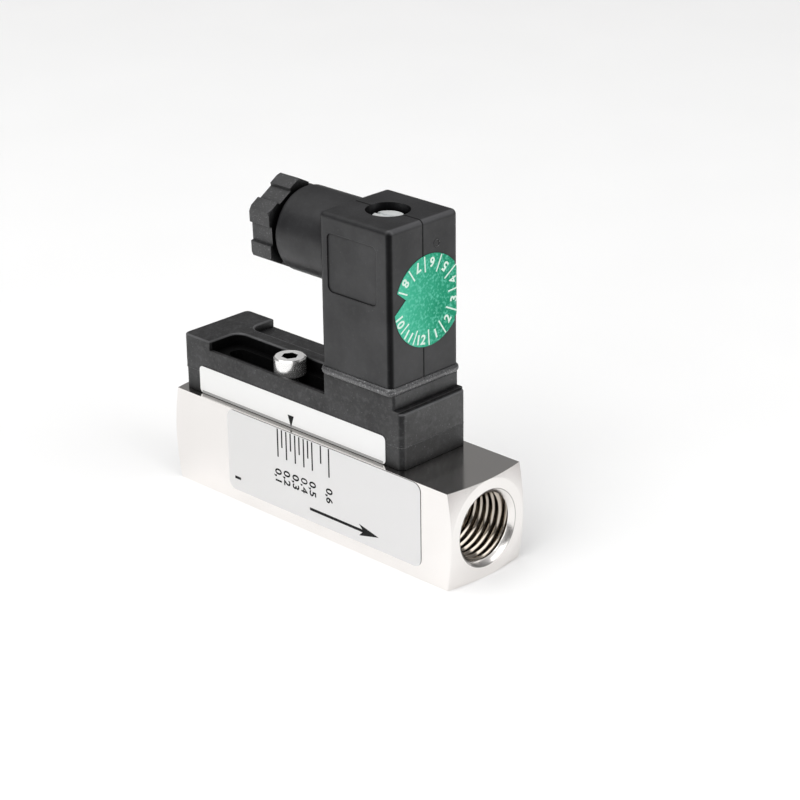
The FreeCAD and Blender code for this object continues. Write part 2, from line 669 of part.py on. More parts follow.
def make_threaded_insert():
    """Brass insert in the tower for the central screw."""
    top = TOWER_TOP - THREADED_INSERT_SINK
    sink = rod_z(THROUGH, top, TOWER_TOP + 1, PLUG_X)
    hole = rod_z(SCREW_THREAD_RADIUS, 0, THROUGH, PLUG_X)
    return threaded_insert_envelope().cut([sink, hole])


def blade(place, embedded):
    """One flat pin with a bevelled tip."""
    shape = blade_block(place, (TOWER_TOP - embedded, BLADE_TIP))
    return chamfer_where(shape, BLADE_TIP_CHAMFER, lambda p: near(p.z, BLADE_TIP))


def make_contact_pins():
    """The two switched pins."""
    return Part.makeCompound([blade(place, BLADE_EMBEDDED) for place in blade_places()[:2]])


def make_earth_pin():
    """The pin on the gland's side."""
    return blade(blade_places()[2], EARTH_EMBEDDED)


# Plug

def make_plug_gasket():
    """Profile gasket with a bevelled lip that stands proud of the plug."""
    reach = HALF_PLUG + GASKET_OVERHANG
    shape = rounded_block((PLUG_X - reach, PLUG_X + reach), (-reach, reach),
                          (TOWER_TOP, PLUG_BOTTOM), PLUG_CORNER_RADIUS + GASKET_OVERHANG)
    shape = chamfer_where(shape, GASKET_LIP_BEVEL,
                          lambda p: near(p.z, TOWER_TOP) or near(p.z, PLUG_BOTTOM))
    half = GASKET_OPENING / 2
    opening = block((PLUG_X - half, PLUG_X + half), (-half, half), (TOWER_TOP, PLUG_BOTTOM))
    return shape.cut(opening)


def make_plug_housing():
    """Square shell open below, with the gland barrel, top screw recess and bare side panel."""
    shape = rounded_block((PLUG_START, PLUG_END), (-HALF_PLUG, HALF_PLUG), (PLUG_BOTTOM, PLUG_TOP),
                          PLUG_CORNER_RADIUS)
    shape = fillet_where(shape, PLUG_TOP_RADIUS, lambda p: near(p.z, PLUG_TOP))
    soft = BARREL_EDGE_RADIUS
    barrel = turned_x([
        (BARREL_END, 0), (BARREL_END, BARREL_RADIUS - soft),
        (BARREL_END + 0.3 * soft, BARREL_RADIUS - 0.3 * soft), (BARREL_END + soft, BARREL_RADIUS),
        (PLUG_X - HALF_CAVITY, BARREL_RADIUS), (PLUG_X - HALF_CAVITY, 0)], GLAND_Z)
    shape = shape.fuse(barrel)
    cavity = block((PLUG_X - HALF_CAVITY, PLUG_X + HALF_CAVITY), (-HALF_CAVITY, HALF_CAVITY),
                   (PLUG_BOTTOM, CAVITY_TOP))
    boss = rod_z(TOP_RECESS_RADIUS + RECESS_WALL, BOSS_BOTTOM, CAVITY_TOP, PLUG_X)
    recess = rod_z(TOP_RECESS_RADIUS, RECESS_FLOOR, THROUGH, PLUG_X)
    screw_hole = rod_z(SHANK_RADIUS + SCREW_HOLE_CLEARANCE, BOSS_BOTTOM, THROUGH, PLUG_X)
    thread_bore = rod_x(BARREL_BORE_RADIUS, BARREL_END, BARREL_BORE_END, 0, GLAND_Z)
    cable_way = rod_x(CABLE_WAY_RADIUS, BARREL_END, PLUG_X - HALF_CAVITY, 0, GLAND_Z)
    panel_start = PLUG_START + PANEL_SIDE_MARGIN
    panel_bottom = PLUG_BOTTOM + PANEL_BOTTOM
    panel = plate_xz((panel_start, panel_start + PANEL_WIDTH),
                     (panel_bottom, panel_bottom + PANEL_HEIGHT),
                     -HALF_PLUG + PANEL_DEPTH, PANEL_DEPTH, PANEL_CORNER_RADIUS)
    shape = shape.cut([cavity.cut(boss), recess, screw_hole, thread_bore, cable_way, panel])
    return shape.removeSplitter()


def contact_envelope(place, extra=0.0):
    """Outside of one socket block."""
    x, y, wide_along_x = place
    half_wide = CONTACT_WIDTH / 2 + extra
    half_thin = CONTACT_THICKNESS / 2 + extra
    half_x, half_y = (half_wide, half_thin) if wide_along_x else (half_thin, half_wide)
    return block((x - half_x, x + half_x), (y - half_y, y + half_y),
                 (CONTACT_FROM - extra, CONTACT_TO))


def make_contact_insert():
    """Moulded carrier that holds the socket blocks and guides the central screw."""
    reach = HALF_CAVITY - INSERT_GAP
    shape = block((PLUG_X - reach, PLUG_X + reach), (-reach, reach),
                  (INSERT_FROM, INSERT_FROM + INSERT_HEIGHT))
    hole = rod_z(SHANK_RADIUS + SCREW_HOLE_CLEARANCE, 0, THROUGH, PLUG_X)
    pockets = [contact_envelope(place) for place in blade_places()]
    slots = [blade_block(place, (INSERT_FROM, CONTACT_FROM), SCREW_HOLE_CLEARANCE)
             for place in blade_places()]
    return shape.cut([hole] + pockets + slots)


def socket_block(place):
    """Brass block with a slot for the pin and a tapped hole for the terminal screw."""
    x, y, _ = place
    slot_top = BLADE_TIP + CONTACT_SLOT_EXTRA
    slot = blade_block(place, (CONTACT_FROM, slot_top), BLADE_CLEARANCE)
    hole = rod_z(TERMINAL_SCREW_RADIUS, CONTACT_TO - TERMINAL_SCREW_LENGTH, CONTACT_TO, x, y)
    return contact_envelope(place).cut([slot, hole])


def make_socket_contacts():
    """Sockets of the two switched pins."""
    return Part.makeCompound([socket_block(place) for place in blade_places()[:2]])


def make_earth_contact():
    """Socket of the earth pin."""
    return socket_block(blade_places()[2])


def make_terminal_screws():
    """The three wire screws."""
    screws = []
    for x, y, _ in blade_places():
        shape = turned_z([
            (0, CONTACT_TO - TERMINAL_SCREW_LENGTH),
            (TERMINAL_SCREW_RADIUS, CONTACT_TO - TERMINAL_SCREW_LENGTH),
            (TERMINAL_SCREW_RADIUS, CONTACT_TO), (TERMINAL_HEAD_RADIUS, CONTACT_TO),
            (TERMINAL_HEAD_RADIUS, CONTACT_TO + TERMINAL_HEAD_HEIGHT),
            (0, CONTACT_TO + TERMINAL_HEAD_HEIGHT)], x, y)
        half = DRIVER_SLOT_WIDTH / 2
        top = CONTACT_TO + TERMINAL_HEAD_HEIGHT
        slot = block((x - THROUGH, x + THROUGH), (y - half, y + half),
                     (top - TERMINAL_HEAD_HEIGHT / 2, top))
        screws.append(shape.cut(slot))
    return Part.makeCompound(screws)


def make_central_screw():
    """Long slotted cheese-head screw through the plug into the tower's insert."""
    seat = CENTRAL_SCREW_SEAT
    tip = CENTRAL_SCREW_TIP
    top = seat + CHEESE_HEAD_HEIGHT
    screw = turned_z([
        (0, tip), (SHANK_RADIUS - CAP_HEAD_CHAMFER, tip), (SHANK_RADIUS, tip + CAP_HEAD_CHAMFER),
        (SHANK_RADIUS, seat), (CHEESE_HEAD_RADIUS, seat),
        (CHEESE_HEAD_RADIUS, top - CHEESE_HEAD_CHAMFER), (CHEESE_HEAD_RADIUS - CHEESE_HEAD_CHAMFER, top),
        (0, top)], PLUG_X)
    half = DRIVER_SLOT_WIDTH / 2
    slot = block((PLUG_X - THROUGH, PLUG_X + THROUGH), (-half, half), (top - DRIVER_SLOT_DEPTH, top))
    return screw.cut(slot)


def make_screw_seal():
    """Flat ring under the central screw's head."""
    outer = TOP_RECESS_RADIUS - SEAL_SIDE_GAP
    inner = SHANK_RADIUS + SCREW_HOLE_CLEARANCE
    top = RECESS_FLOOR + SEAL_THICKNESS
    return turned_z([(inner, RECESS_FLOOR), (outer, RECESS_FLOOR), (outer, top), (inner, top)], PLUG_X)


# Gland

def make_gland_nut():
    """Hexagonal compression nut: each flat has a shallow recess, and the neck enters the barrel."""
    place = Vector(NUT_START, 0, GLAND_Z)
    shape = hexagon_prism(NUT_WIDTH, place, AXIS_X, NUT_LENGTH, NUT_TURN + HEXAGON_STEP / 2)
    reach = NUT_WIDTH / 2 / math.cos(math.radians(30))
    crown = turned_x([
        (NUT_START, 0), (NUT_START, reach - NUT_EDGE_CHAMFER), (NUT_START + NUT_EDGE_CHAMFER, reach),
        (NUT_END - NUT_EDGE_CHAMFER, reach), (NUT_END, reach - NUT_EDGE_CHAMFER), (NUT_END, 0)],
        GLAND_Z)
    shape = shape.common(crown)
    half = NUT_RECESS_WIDTH / 2
    floor = NUT_WIDTH / 2 - NUT_RECESS_DEPTH
    for step in range(6):
        points = [Vector(NUT_START, -half, floor), Vector(NUT_START, half, floor),
                  Vector(NUT_START, half + NUT_RECESS_DEPTH, NUT_WIDTH / 2 + 1),
                  Vector(NUT_START, -half - NUT_RECESS_DEPTH, NUT_WIDTH / 2 + 1)]
        groove = Part.Face(Part.makePolygon(points + points[:1])).extrude(AXIS_X * NUT_LENGTH)
        groove.rotate(Vector(0, 0, 0), AXIS_X, HEXAGON_STEP * (step + 0.5) + NUT_TURN)
        groove.translate(Vector(0, 0, GLAND_Z))
        shape = shape.cut(groove)
    neck = rod_x(NECK_RADIUS, NUT_END, NECK_END, 0, GLAND_Z)
    mouth = CABLE_ENTRY_RADIUS + NUT_MOUTH_CHAMFER
    way = turned_x([
        (NUT_START, 0), (NUT_START, mouth), (NUT_START + NUT_MOUTH_CHAMFER, CABLE_ENTRY_RADIUS),
        (NECK_END, CABLE_ENTRY_RADIUS), (NECK_END, 0)], GLAND_Z)
    return shape.fuse(neck).cut(way).removeSplitter()


def gland_ring(outer, inner, x_range):
    """A plain ring on the gland's axis."""
    start, end = x_range
    return turned_x([(start, inner), (start, outer), (end, outer), (end, inner)], GLAND_Z)


def make_gland_washer():
    """Thrust ring between the nut's neck and the seal."""
    return gland_ring(NECK_RADIUS, CABLE_ENTRY_RADIUS, (WASHER_START, WASHER_END))


def make_gland_seal():
    """Rubber ring that grips the cable."""
    return gland_ring(BARREL_BORE_RADIUS, GLAND_SEAL_BORE_RADIUS, (GLAND_SEAL_START, BARREL_BORE_END))


def make_date_sticker():
    """Round sticker with a notch, on the plug's outlet side and bent round its far edge."""
    reach = HALF_PLUG + LABEL_THICKNESS
    z = PLUG_BOTTOM + STICKER_HEIGHT
    levels = (z - STICKER_RADIUS - 1, z + STICKER_RADIUS + 1)
    skin = rounded_block((PLUG_X - reach, PLUG_X + reach), (-reach, reach), levels,
                         PLUG_CORNER_RADIUS + LABEL_THICKNESS)
    skin = skin.cut(rounded_block((PLUG_START, PLUG_END), (-HALF_PLUG, HALF_PLUG), levels,
                                  PLUG_CORNER_RADIUS))
    front = Part.makeCylinder(STICKER_RADIUS, THROUGH, Vector(PLUG_X, STICKER_OFFSET, z), AXIS_X)
    past_edge = HALF_PLUG - STICKER_OFFSET
    edge_saving = (2 - math.pi / 2) * PLUG_CORNER_RADIUS
    side_middle = PLUG_END + past_edge - edge_saving
    side = Part.makeCylinder(STICKER_RADIUS, THROUGH, Vector(side_middle, 0, z), AXIS_Y)
    start = PLUG_END - PLUG_CORNER_RADIUS
    turn = HALF_PLUG - PLUG_CORNER_RADIUS
    front = front.common(block((start, THROUGH), (-THROUGH, turn), levels))
    side = side.common(block((0, THROUGH), (turn, THROUGH), levels))
    left = STICKER_OFFSET - STICKER_RADIUS
    points = [Vector(0, left - 1, z + STICKER_NOTCH_RISE + STICKER_NOTCH_HALF_WIDTH + 1),
              Vector(0, left + STICKER_NOTCH_DEPTH, z + STICKER_NOTCH_RISE),
              Vector(0, left - 1, z + STICKER_NOTCH_RISE - STICKER_NOTCH_HALF_WIDTH - 1)]
    notch = Part.Face(Part.makePolygon(points + points[:1])).extrude(AXIS_X * THROUGH)
    return skin.common(front.fuse(side)).cut(notch)


PIECES = {
    "flow_body": make_flow_body,
    "scale_label": make_scale_label,
    "metering_sleeve": make_metering_sleeve,
    "float_shell": make_float_shell,
    "float_magnet": make_float_magnet,
    "float_plug": make_float_plug,
    "return_spring": make_return_spring,
    "spring_seat": make_spring_seat,
    "retaining_ring": make_retaining_ring,
    "housing_base": make_housing_base,
    "switch_housing": make_switch_housing,
    "rating_label": make_rating_label,
    "clamp_screw": make_clamp_screw,
    "reed_capsule": make_reed_capsule,
    "reed_leads": make_reed_leads,
    "potting": make_potting,
    "threaded_insert": make_threaded_insert,
    "contact_pins": make_contact_pins,
    "earth_pin": make_earth_pin,
    "plug_gasket": make_plug_gasket,
    "plug_housing": make_plug_housing,
    "contact_insert": make_contact_insert,
    "socket_contacts": make_socket_contacts,
    "earth_contact": make_earth_contact,
    "terminal_screws": make_terminal_screws,
    "central_screw": make_central_screw,
    "screw_seal": make_screw_seal,
    "gland_nut": make_gland_nut,
    "gland_washer": make_gland_washer,
    "gland_seal": make_gland_seal,
    "date_sticker": make_date_sticker,
}


def main():
    """Build every piece, check it and write it."""
    os.makedirs("parts", exist_ok=True)
    for name, make in PIECES.items():
        shape = make()
        if not shape.isValid() or not shape.Solids:
            raise ValueError(f"{name} isn't a valid solid")
        shape.exportStep(f"parts/{name}.step")
        box = shape.BoundBox
        print(f"{name}: {len(shape.Solids)} solid, {shape.Volume:.1f} mm3,"
              f" x {box.XMin:.2f} to {box.XMax:.2f}, y {box.YMin:.2f} to {box.YMax:.2f},"
              f" z {box.ZMin:.2f} to {box.ZMax:.2f}")


main()
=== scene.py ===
"""The in-line flow switch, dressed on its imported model.

Lengths are in metres, unless a docstring says millimetres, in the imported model's axes: +X is the
way the liquid flows, +Z is up towards the plug, and the scale faces -Y. Each finish is a class,
and so is each sub-assembly. A sub-assembly models what the solids leave out, such as the port
threads, the print and the dial sticker, sets each piece on the body that it moves with, and gives
its solids their finishes.
"""
from __future__ import annotations

import logging
import math
from dataclasses import dataclass
from enum import Enum
from typing import Callable, Sequence

import bmesh
import bpy
from mathutils import Matrix, Vector

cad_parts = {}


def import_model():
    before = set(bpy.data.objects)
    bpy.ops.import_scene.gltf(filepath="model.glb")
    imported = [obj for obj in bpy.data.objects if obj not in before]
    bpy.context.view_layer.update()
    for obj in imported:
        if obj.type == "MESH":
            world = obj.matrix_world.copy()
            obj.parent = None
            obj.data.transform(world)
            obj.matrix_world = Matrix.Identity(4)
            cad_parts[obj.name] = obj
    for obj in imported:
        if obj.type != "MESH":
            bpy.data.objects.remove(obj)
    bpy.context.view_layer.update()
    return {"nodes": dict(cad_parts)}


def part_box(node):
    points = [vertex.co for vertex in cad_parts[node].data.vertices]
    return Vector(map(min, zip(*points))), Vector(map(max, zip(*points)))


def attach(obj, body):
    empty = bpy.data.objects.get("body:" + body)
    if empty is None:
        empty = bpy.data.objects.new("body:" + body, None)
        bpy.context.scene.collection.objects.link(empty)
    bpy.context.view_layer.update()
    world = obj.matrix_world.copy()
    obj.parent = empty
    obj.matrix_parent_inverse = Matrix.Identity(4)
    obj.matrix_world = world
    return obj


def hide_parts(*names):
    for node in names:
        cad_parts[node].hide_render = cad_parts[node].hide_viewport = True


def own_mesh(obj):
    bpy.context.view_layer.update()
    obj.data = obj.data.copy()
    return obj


LOG = logging.getLogger("flow_switch")
MM = 0.001
MERGE = 1e-7

Pair = tuple[float, float]
Point = tuple[float, float, float]
Colour = Point
Socket = bpy.types.NodeSocket
Material = bpy.types.Material
Piece = bpy.types.Object
Nodes = dict[str, Piece]
Test = Callable[[Vector, Vector], bool]


class Ride(Enum):
    """The moving bodies that pieces are set on."""

    BODY = "body"
    SWITCH = "switch"
    PLUG = "plug"


class Slot(Enum):
    """The record's material slots, passed with new pieces but not read."""

    NICKEL = "nickel_brass"
    FOIL = "label_foil"
    HOUSING = "housing_plastic"
    PLUG = "plug_plastic"
    GASKET = "gasket_rubber"
    SPRING = "spring_steel"
    STICKER = "sticker_film"


class Pick(Enum):
    """What an edit-mode choice selects."""

    VERTS = "VERT"
    EDGES = "EDGE"
    FACES = "FACE"


def mm(*sizes: float) -> tuple[float, ...]:
    """Millimetres as metres."""
    return tuple(size * MM for size in sizes)


# Finishes


class Graph:
    """A material's node tree while it is being wired."""

    def __init__(self, name: str) -> None:
        """Starts a material that holds one Principled shader."""
        self.material = bpy.data.materials.new(name)
        self.material.use_nodes = True
        self.tree = self.material.node_tree
        self.shader = self.tree.nodes["Principled BSDF"]

    def feed(self, socket: Socket, value: object) -> None:
        """Links value to the socket if it is a socket, and otherwise stores it there."""
        if isinstance(value, Socket):
            self.tree.links.new(value, socket)
        else:
            socket.default_value = (*value, 1.0) if socket.type == "RGBA" else value

    def add(self, kind: str, result: str | int, feeds: dict[str | int, object] | None = None,
            **settings: object) -> Socket:
        """Adds a node.

        Args:
            kind: the node's type, without the word that all types begin with.
            result: the output that is wanted.
            feeds: what goes into its inputs, by their names or numbers.
            settings: properties to set on the node.

        Returns:
            The wanted output.
        """
        node = self.tree.nodes.new(f"ShaderNode{kind}")
        for key, value in settings.items():
            setattr(node, key, value)
        for key, value in (feeds or {}).items():
            self.feed(node.inputs[key], value)
        return node.outputs[result]

    def set(self, **sockets: object) -> None:
        """Sets or links the shader's sockets, their names written with underscores."""
        for key, value in sockets.items():
            self.feed(self.shader.inputs[key.replace("_", " ")], value)

    def place(self, stretch: Point = (1.0, 1.0, 1.0)) -> Socket:
        """Object coordinates, stretched by a scale along each axis."""
        return self.add("Mapping", "Vector",
                        {"Vector": self.add("TexCoord", "Object"), "Scale": stretch})

    def noise(self, per_metre: float, detail: float = 3.0,
              stretch: Point = (1.0, 1.0, 1.0)) -> Socket:
        """A noise pattern's value, with so many features to the metre."""
        return self.add("TexNoise", "Fac", {"Scale": per_metre, "Detail": detail,
                                            "Vector": self.place(stretch)})

    def span(self, value: object, low: float, high: float, to_low: float = 0.0,
             to_high: float = 1.0) -> Socket:
        """Maps value from one range to another, clamped."""
        return self.add("MapRange", "Result", {
            "Value": value, "From Min": low, "From Max": high, "To Min": to_low, "To Max": to_high})

    def sum(self, operation: str, first: object, *others: object) -> Socket:
        """Arithmetic on one value, or step by step through several."""
        for other in others or (0.0,):
            first = self.add("Math", "Value", {0: first, 1: other}, operation=operation)
        return first

    def times(self, *values: object) -> Socket:
        """The product of several values."""
        return self.sum("MULTIPLY", *values)

    def blend(self, share: object, low: object, high: object) -> Socket:
        """A colour between two colours or colour sockets, by share."""
        return self.add("Mix", 2, {0: share, 6: low, 7: high}, data_type="RGBA")

    def axis(self, name: str) -> Socket:
        """One object coordinate."""
        return self.add("SeparateXYZ", name, {"Vector": self.place()})

    def turned(self, name: str) -> Socket:
        """One part of the surface's direction."""
        return self.add("SeparateXYZ", name, {"Vector": self.add("NewGeometry", "Normal")})

    def around_flow(self) -> Socket:
        """Distance from the flow axis."""
        squares = [self.sum("POWER", self.axis(name), 2.0) for name in "YZ"]
        return self.sum("SQRT", self.sum("ADD", *squares))

    def openness(self, reach: float, low: float, high: float) -> Socket:
        """How open the surface is.

        Args:
            reach: how far away other surfaces count, in metres.
            low: the raw value that counts as closed in.
            high: the raw value that counts as open.

        Returns:
            The share, from 0 in a deep corner to 1 in the open.
        """
        return self.span(self.add("AmbientOcclusion", "AO", {"Distance": reach}, samples=6),
                         low, high)

    def outside(self, low: Point, high: Point, soft: float) -> Socket:
        """Whether a point is outside a box.

        Args:
            low: the box's lower corner, in metres.
            high: the box's upper corner.
            soft: the width of the change.

        Returns:
            The share, 0 inside and 1 outside.
        """
        inside: object = 1.0
        for name, start, end in zip("XYZ", low, high):
            along = self.axis(name)
            inside = self.times(inside, self.span(along, start - soft, start),
                                self.span(along, end, end + soft, 1.0, 0.0))
        return self.sum("SUBTRACT", 1.0, inside)

    def bump(self, height: object, depth: float, below: object = None) -> Socket:
        """Raises the surface by height times depth, in metres, on top of another bump if any."""
        feeds = {"Distance": depth, "Height": height}
        if below is not None:
            feeds["Normal"] = below
        return self.add("Bump", "Normal", feeds)


@dataclass(frozen=True)
class Metal:
    """Bare or plated metal with a fine grain and uneven polish.

    stretch is the grain's scale along each axis, and depth its height in metres. Corners and
    recesses within reach, and what lies in the box called hollow, are painted in shadow, and
    faces that look up are whiter where top_metallic is given.
    """

    name: str
    colour: Colour
    dull: Colour
    roughness: Pair = (0.16, 0.3)
    stretch: Point = (1.0, 1.0, 1.0)
    per_metre: float = 2500.0
    depth: float = 2e-6
    metallic: float = 1.0
    top_metallic: float | None = None
    top_roughness: float = 0.22
    shadow: Colour = (0.012, 0.011, 0.01)
    reach: float = 1.6 * MM
    hollow: tuple[Point, Point] | None = None

    def make(self) -> Material:
        """Builds the material."""
        graph = Graph(self.name)
        cloud = graph.noise(180.0, 4.0)
        grain = graph.noise(self.per_metre, 3.0, self.stretch)
        rough = graph.span(grain, 0.3, 0.7, *self.roughness)
        graph.set(Metallic=self.metallic)
        if self.top_metallic is not None:
            upwards = graph.span(graph.turned("Z"), 0.8, 0.98)
            graph.set(Metallic=graph.span(upwards, 0.0, 1.0, self.metallic, self.top_metallic))
            rough = graph.sum("ADD", rough, graph.times(upwards, self.top_roughness))
        shade = graph.blend(graph.span(cloud, 0.35, 0.7), self.colour, self.dull)
        # Painted shade: the colour darkens towards the shadow colour in corners and recesses within
        # reach, and in the hollow box, where the reflections are dimmed too.
        unshaded = graph.openness(self.reach, 0.2, 0.6)
        if self.hollow:
            unshaded = graph.times(unshaded, graph.outside(*self.hollow, 0.05 * MM))
            graph.set(Specular_IOR_Level=graph.span(unshaded, 0.0, 0.5, 0.02, 0.5))
        graph.set(Base_Color=graph.blend(unshaded, self.shadow, shade), Roughness=rough,
                  Normal=graph.bump(grain, self.depth))
        return graph.material


@dataclass(frozen=True)
class NickelPlate:
    """Bright nickel on the machined bar: near-mirror flats, turned rings on the ends."""

    name: str = "nickel_plate"
    colour: Colour = (0.885, 0.86, 0.84)
    dull: Colour = (0.80, 0.775, 0.755)
    bore_colour: Colour = (0.60, 0.54, 0.47)
    bore_shadow: Colour = (0.010, 0.006, 0.004)
    facet_colour: Colour = (0.56, 0.53, 0.52)
    facet_radius: Pair = mm(8.4, 11.6)
    facet_height: Pair = mm(-2.0, 6.0)
    lip_colour: Colour = (0.20, 0.19, 0.18)
    lip_width: Pair = mm(0.03, 0.08)
    end_width: float = 2.2 * MM
    bar_length: float = 66.0 * MM
    ring_pitch: float = 0.16 * MM
    bore_radius: float = 6.6 * MM
    mouth_depth: float = 0.95 * MM

    def make(self) -> Material:
        """Builds the material."""
        graph = Graph(self.name)
        radius = graph.around_flow()
        middle = self.bar_length / 2
        from_middle = graph.sum("ABSOLUTE", graph.sum("SUBTRACT", graph.axis("X"), middle))
        end_mask = graph.times(
            graph.span(from_middle, middle - self.end_width, middle - self.end_width * 0.8),
            graph.span(graph.sum("ABSOLUTE", graph.turned("X")), 0.2, 0.6))
        waves = graph.sum("SINE", graph.times(radius, 2 * math.pi / self.ring_pitch))
        rings = graph.times(waves, graph.noise(900.0, 2.0), end_mask)
        drawn = graph.noise(2600.0, 3.0, (0.04, 1.0, 1.0))
        cloud = graph.noise(70.0, 4.0)
        shade = graph.blend(graph.span(cloud, 0.4, 0.75, 0.0, 0.5), self.colour, self.dull)
        # Painted reflection: the end chamfers are painted darker, more so further out and higher
        # up.
        near, far = self.facet_radius
        facet_reflection = graph.times(end_mask, graph.span(radius, near, far, 0.25, 1.0),
                            graph.span(radius, near * 0.99, near),
                            graph.span(graph.axis("Z"), *self.facet_height, 0.1, 1.0))
        shade = graph.blend(facet_reflection, shade, self.facet_colour)
        # Painted shade: a thin dark line on the end faces round the rim of each port's mouth.
        from_lip = graph.sum("ABSOLUTE", graph.sum("SUBTRACT", radius, self.bore_radius))
        lip = graph.times(end_mask, graph.span(from_lip, *self.lip_width, 0.8, 0.0))
        shade = graph.blend(lip, shade, self.lip_colour)
        bore = graph.blend(graph.openness(3.0 * MM, 0.2, 0.7), self.bore_shadow, self.bore_colour)
        inside = graph.times(
            graph.span(radius, self.bore_radius, self.bore_radius * 0.99),
            graph.span(from_middle, middle - self.mouth_depth, middle - self.mouth_depth * 1.2))
        rough = graph.sum("ADD", graph.span(drawn, 0.3, 0.7, 0.0, 0.05),
                          graph.span(cloud, 0.3, 0.7, 0.09, 0.16), graph.times(end_mask, 0.08))
        normal = graph.bump(drawn, 0.7e-6, graph.bump(rings, 1.6e-6))
        graph.set(Metallic=1.0, Base_Color=graph.blend(inside, shade, bore), Roughness=rough,
                  Normal=graph.bump(graph.noise(9000.0, 2.0), 0.4e-6, normal))
        return graph.material


@dataclass(frozen=True)
class Moulded:
    """Injection-moulded black plastic: fine grain, pale fibre specks, worn edges and painted light.

    rim and top_edges are how much the outlet-side rim and the upper ridges are painted pale as
    highlights, outlet_gain is the extra gloss of faces towards the outlet, a painted sheen, and
    corner_level paints shade on the upright corners. Corners and recesses within reach, and what
    lies in the box called hollow, are painted in shadow.
    """

    name: str
    colour: Colour
    pale: Colour
    roughness: Pair = (0.36, 0.5)
    grain: float = 5200.0
    depth: float = 6e-6
    speck_level: float = 0.69
    edge_width: float = 0.16 * MM
    edge_share: float = 0.3
    gloss: float = 0.5
    reach: float = 2.2 * MM
    outlet_gain: float = 1.0
    rim: float = 0.0
    top_edges: float = 0.0
    mottle: float = 0.0
    corner_level: float = 1.0
    shadow: Colour = (0.0015, 0.0015, 0.0015)
    hollow: tuple[Point, Point] | None = None

    def make(self) -> Material:
        """Builds the material."""
        graph = Graph(self.name)
        cloud = graph.noise(160.0, 4.0)
        grain = graph.noise(self.grain, 4.0)
        outwards, far, up = (graph.turned(name) for name in "XYZ")
        soft = graph.add("Bevel", "Normal", {"Radius": self.edge_width}, samples=4)
        facing = graph.add("VectorMath", "Value", {
            0: soft, 1: graph.add("NewGeometry", "Normal")}, operation="DOT_PRODUCT")
        # Edge wear and painted highlight: the edges that the bevel normal finds are painted paler,
        # patchily.
        wear_and_edge_highlight = graph.times(graph.span(facing, 0.98, 0.85, 0.0, self.edge_share),
                           graph.span(cloud, 0.35, 0.65, 0.3, 1.0))
        specks = graph.span(graph.noise(3800.0, 2.0), self.speck_level, self.speck_level + 0.08,
                            0.0, 0.8)
        patchy = graph.span(graph.noise(1100.0, 3.0), 0.5, 0.72, 0.0, self.mottle)
        # Painted highlight: edges that look both towards the outlet and up are painted pale.
        rim = graph.span(graph.times(outwards, up), 0.12, 0.42, 0.0, self.rim)
        # Painted highlight: the upper ridges, most of all those that look away, are painted pale,
        # patchily.
        sideways = graph.sum("ADD", *(graph.sum("ABSOLUTE", part) for part in (outwards, far)))
        ridge = graph.sum("MAXIMUM", graph.span(graph.times(up, sideways), 0.1, 0.35, 0.0, 0.6),
                          graph.span(graph.times(up, far), 0.02, 0.12))
        ridge_highlight = graph.span(cloud, 0.35, 0.6, self.top_edges * 0.7, self.top_edges)
        share = graph.sum("MAXIMUM", wear_and_edge_highlight, specks, patchy, rim, graph.times(ridge_highlight, ridge))
        body = graph.blend(graph.span(cloud, 0.3, 0.7, 0.0, 0.1), self.colour, self.pale)
        corner = graph.sum("ABSOLUTE", graph.times(outwards, far))
        # Painted shade: corners and recesses within reach, the hollow box and the upright corners
        # are darkened towards the shadow colour.
        unshaded = graph.openness(self.reach, 0.4, 0.92)
        if self.hollow:
            kept = graph.sum("MAXIMUM", graph.outside(*self.hollow, 0.15 * MM), 0.1)
            unshaded = graph.times(unshaded, kept)
        unshaded = graph.times(unshaded, graph.span(corner, 0.12, 0.5, 1.0, self.corner_level))
        # Painted sheen: the gloss is cut on upright corners and in the painted shade, and raised on
        # faces towards the outlet.
        gloss_and_sheen = graph.times(graph.span(corner, 0.15, 0.42, self.gloss, self.gloss * 0.25),
                            graph.span(outwards, 0.6, 0.95, 1.0, self.outlet_gain),
                            graph.span(cloud, 0.3, 0.7, 0.85, 1.15),
                            graph.span(unshaded, 0.0, 1.0, 0.04, 1.0))
        graph.set(Specular_IOR_Level=self.gloss)
        graph.set(Base_Color=graph.blend(unshaded, self.shadow, graph.blend(share, body, self.pale)),
                  Specular_IOR_Level=gloss_and_sheen, Normal=graph.bump(grain, self.depth, soft),
                  Roughness=graph.span(grain, 0.3, 0.7, *self.roughness))
        return graph.material


@dataclass(frozen=True)
class Foil:
    """Satin printed foil: a pale face, which changes along its run, and a dark cut edge, partly
    painted shade.
    """

    name: str
    colour: Colour
    far: Colour
    edge: Colour = (0.10, 0.10, 0.10)
    run: Pair = mm(15.0, 58.0)
    metallic: float = 0.35
    roughness: Pair = (0.33, 0.41)

    def make(self) -> Material:
        """Builds the material."""
        graph = Graph(self.name)
        fine = graph.noise(5000.0, 2.0)
        # The faces that don't look along -Y, the cut edges, take the dark edge colour: partly the
        # foil's own edge, partly painted shade.
        side = graph.span(graph.turned("Y"), -0.9, -0.4)
        face = graph.blend(graph.span(graph.axis("X"), *self.run), self.colour, self.far)
        graph.set(Base_Color=graph.blend(side, face, self.edge), Metallic=self.metallic,
                  Roughness=graph.span(fine, 0.3, 0.7, *self.roughness),
                  Normal=graph.bump(fine, 0.8e-6))
        return graph.material


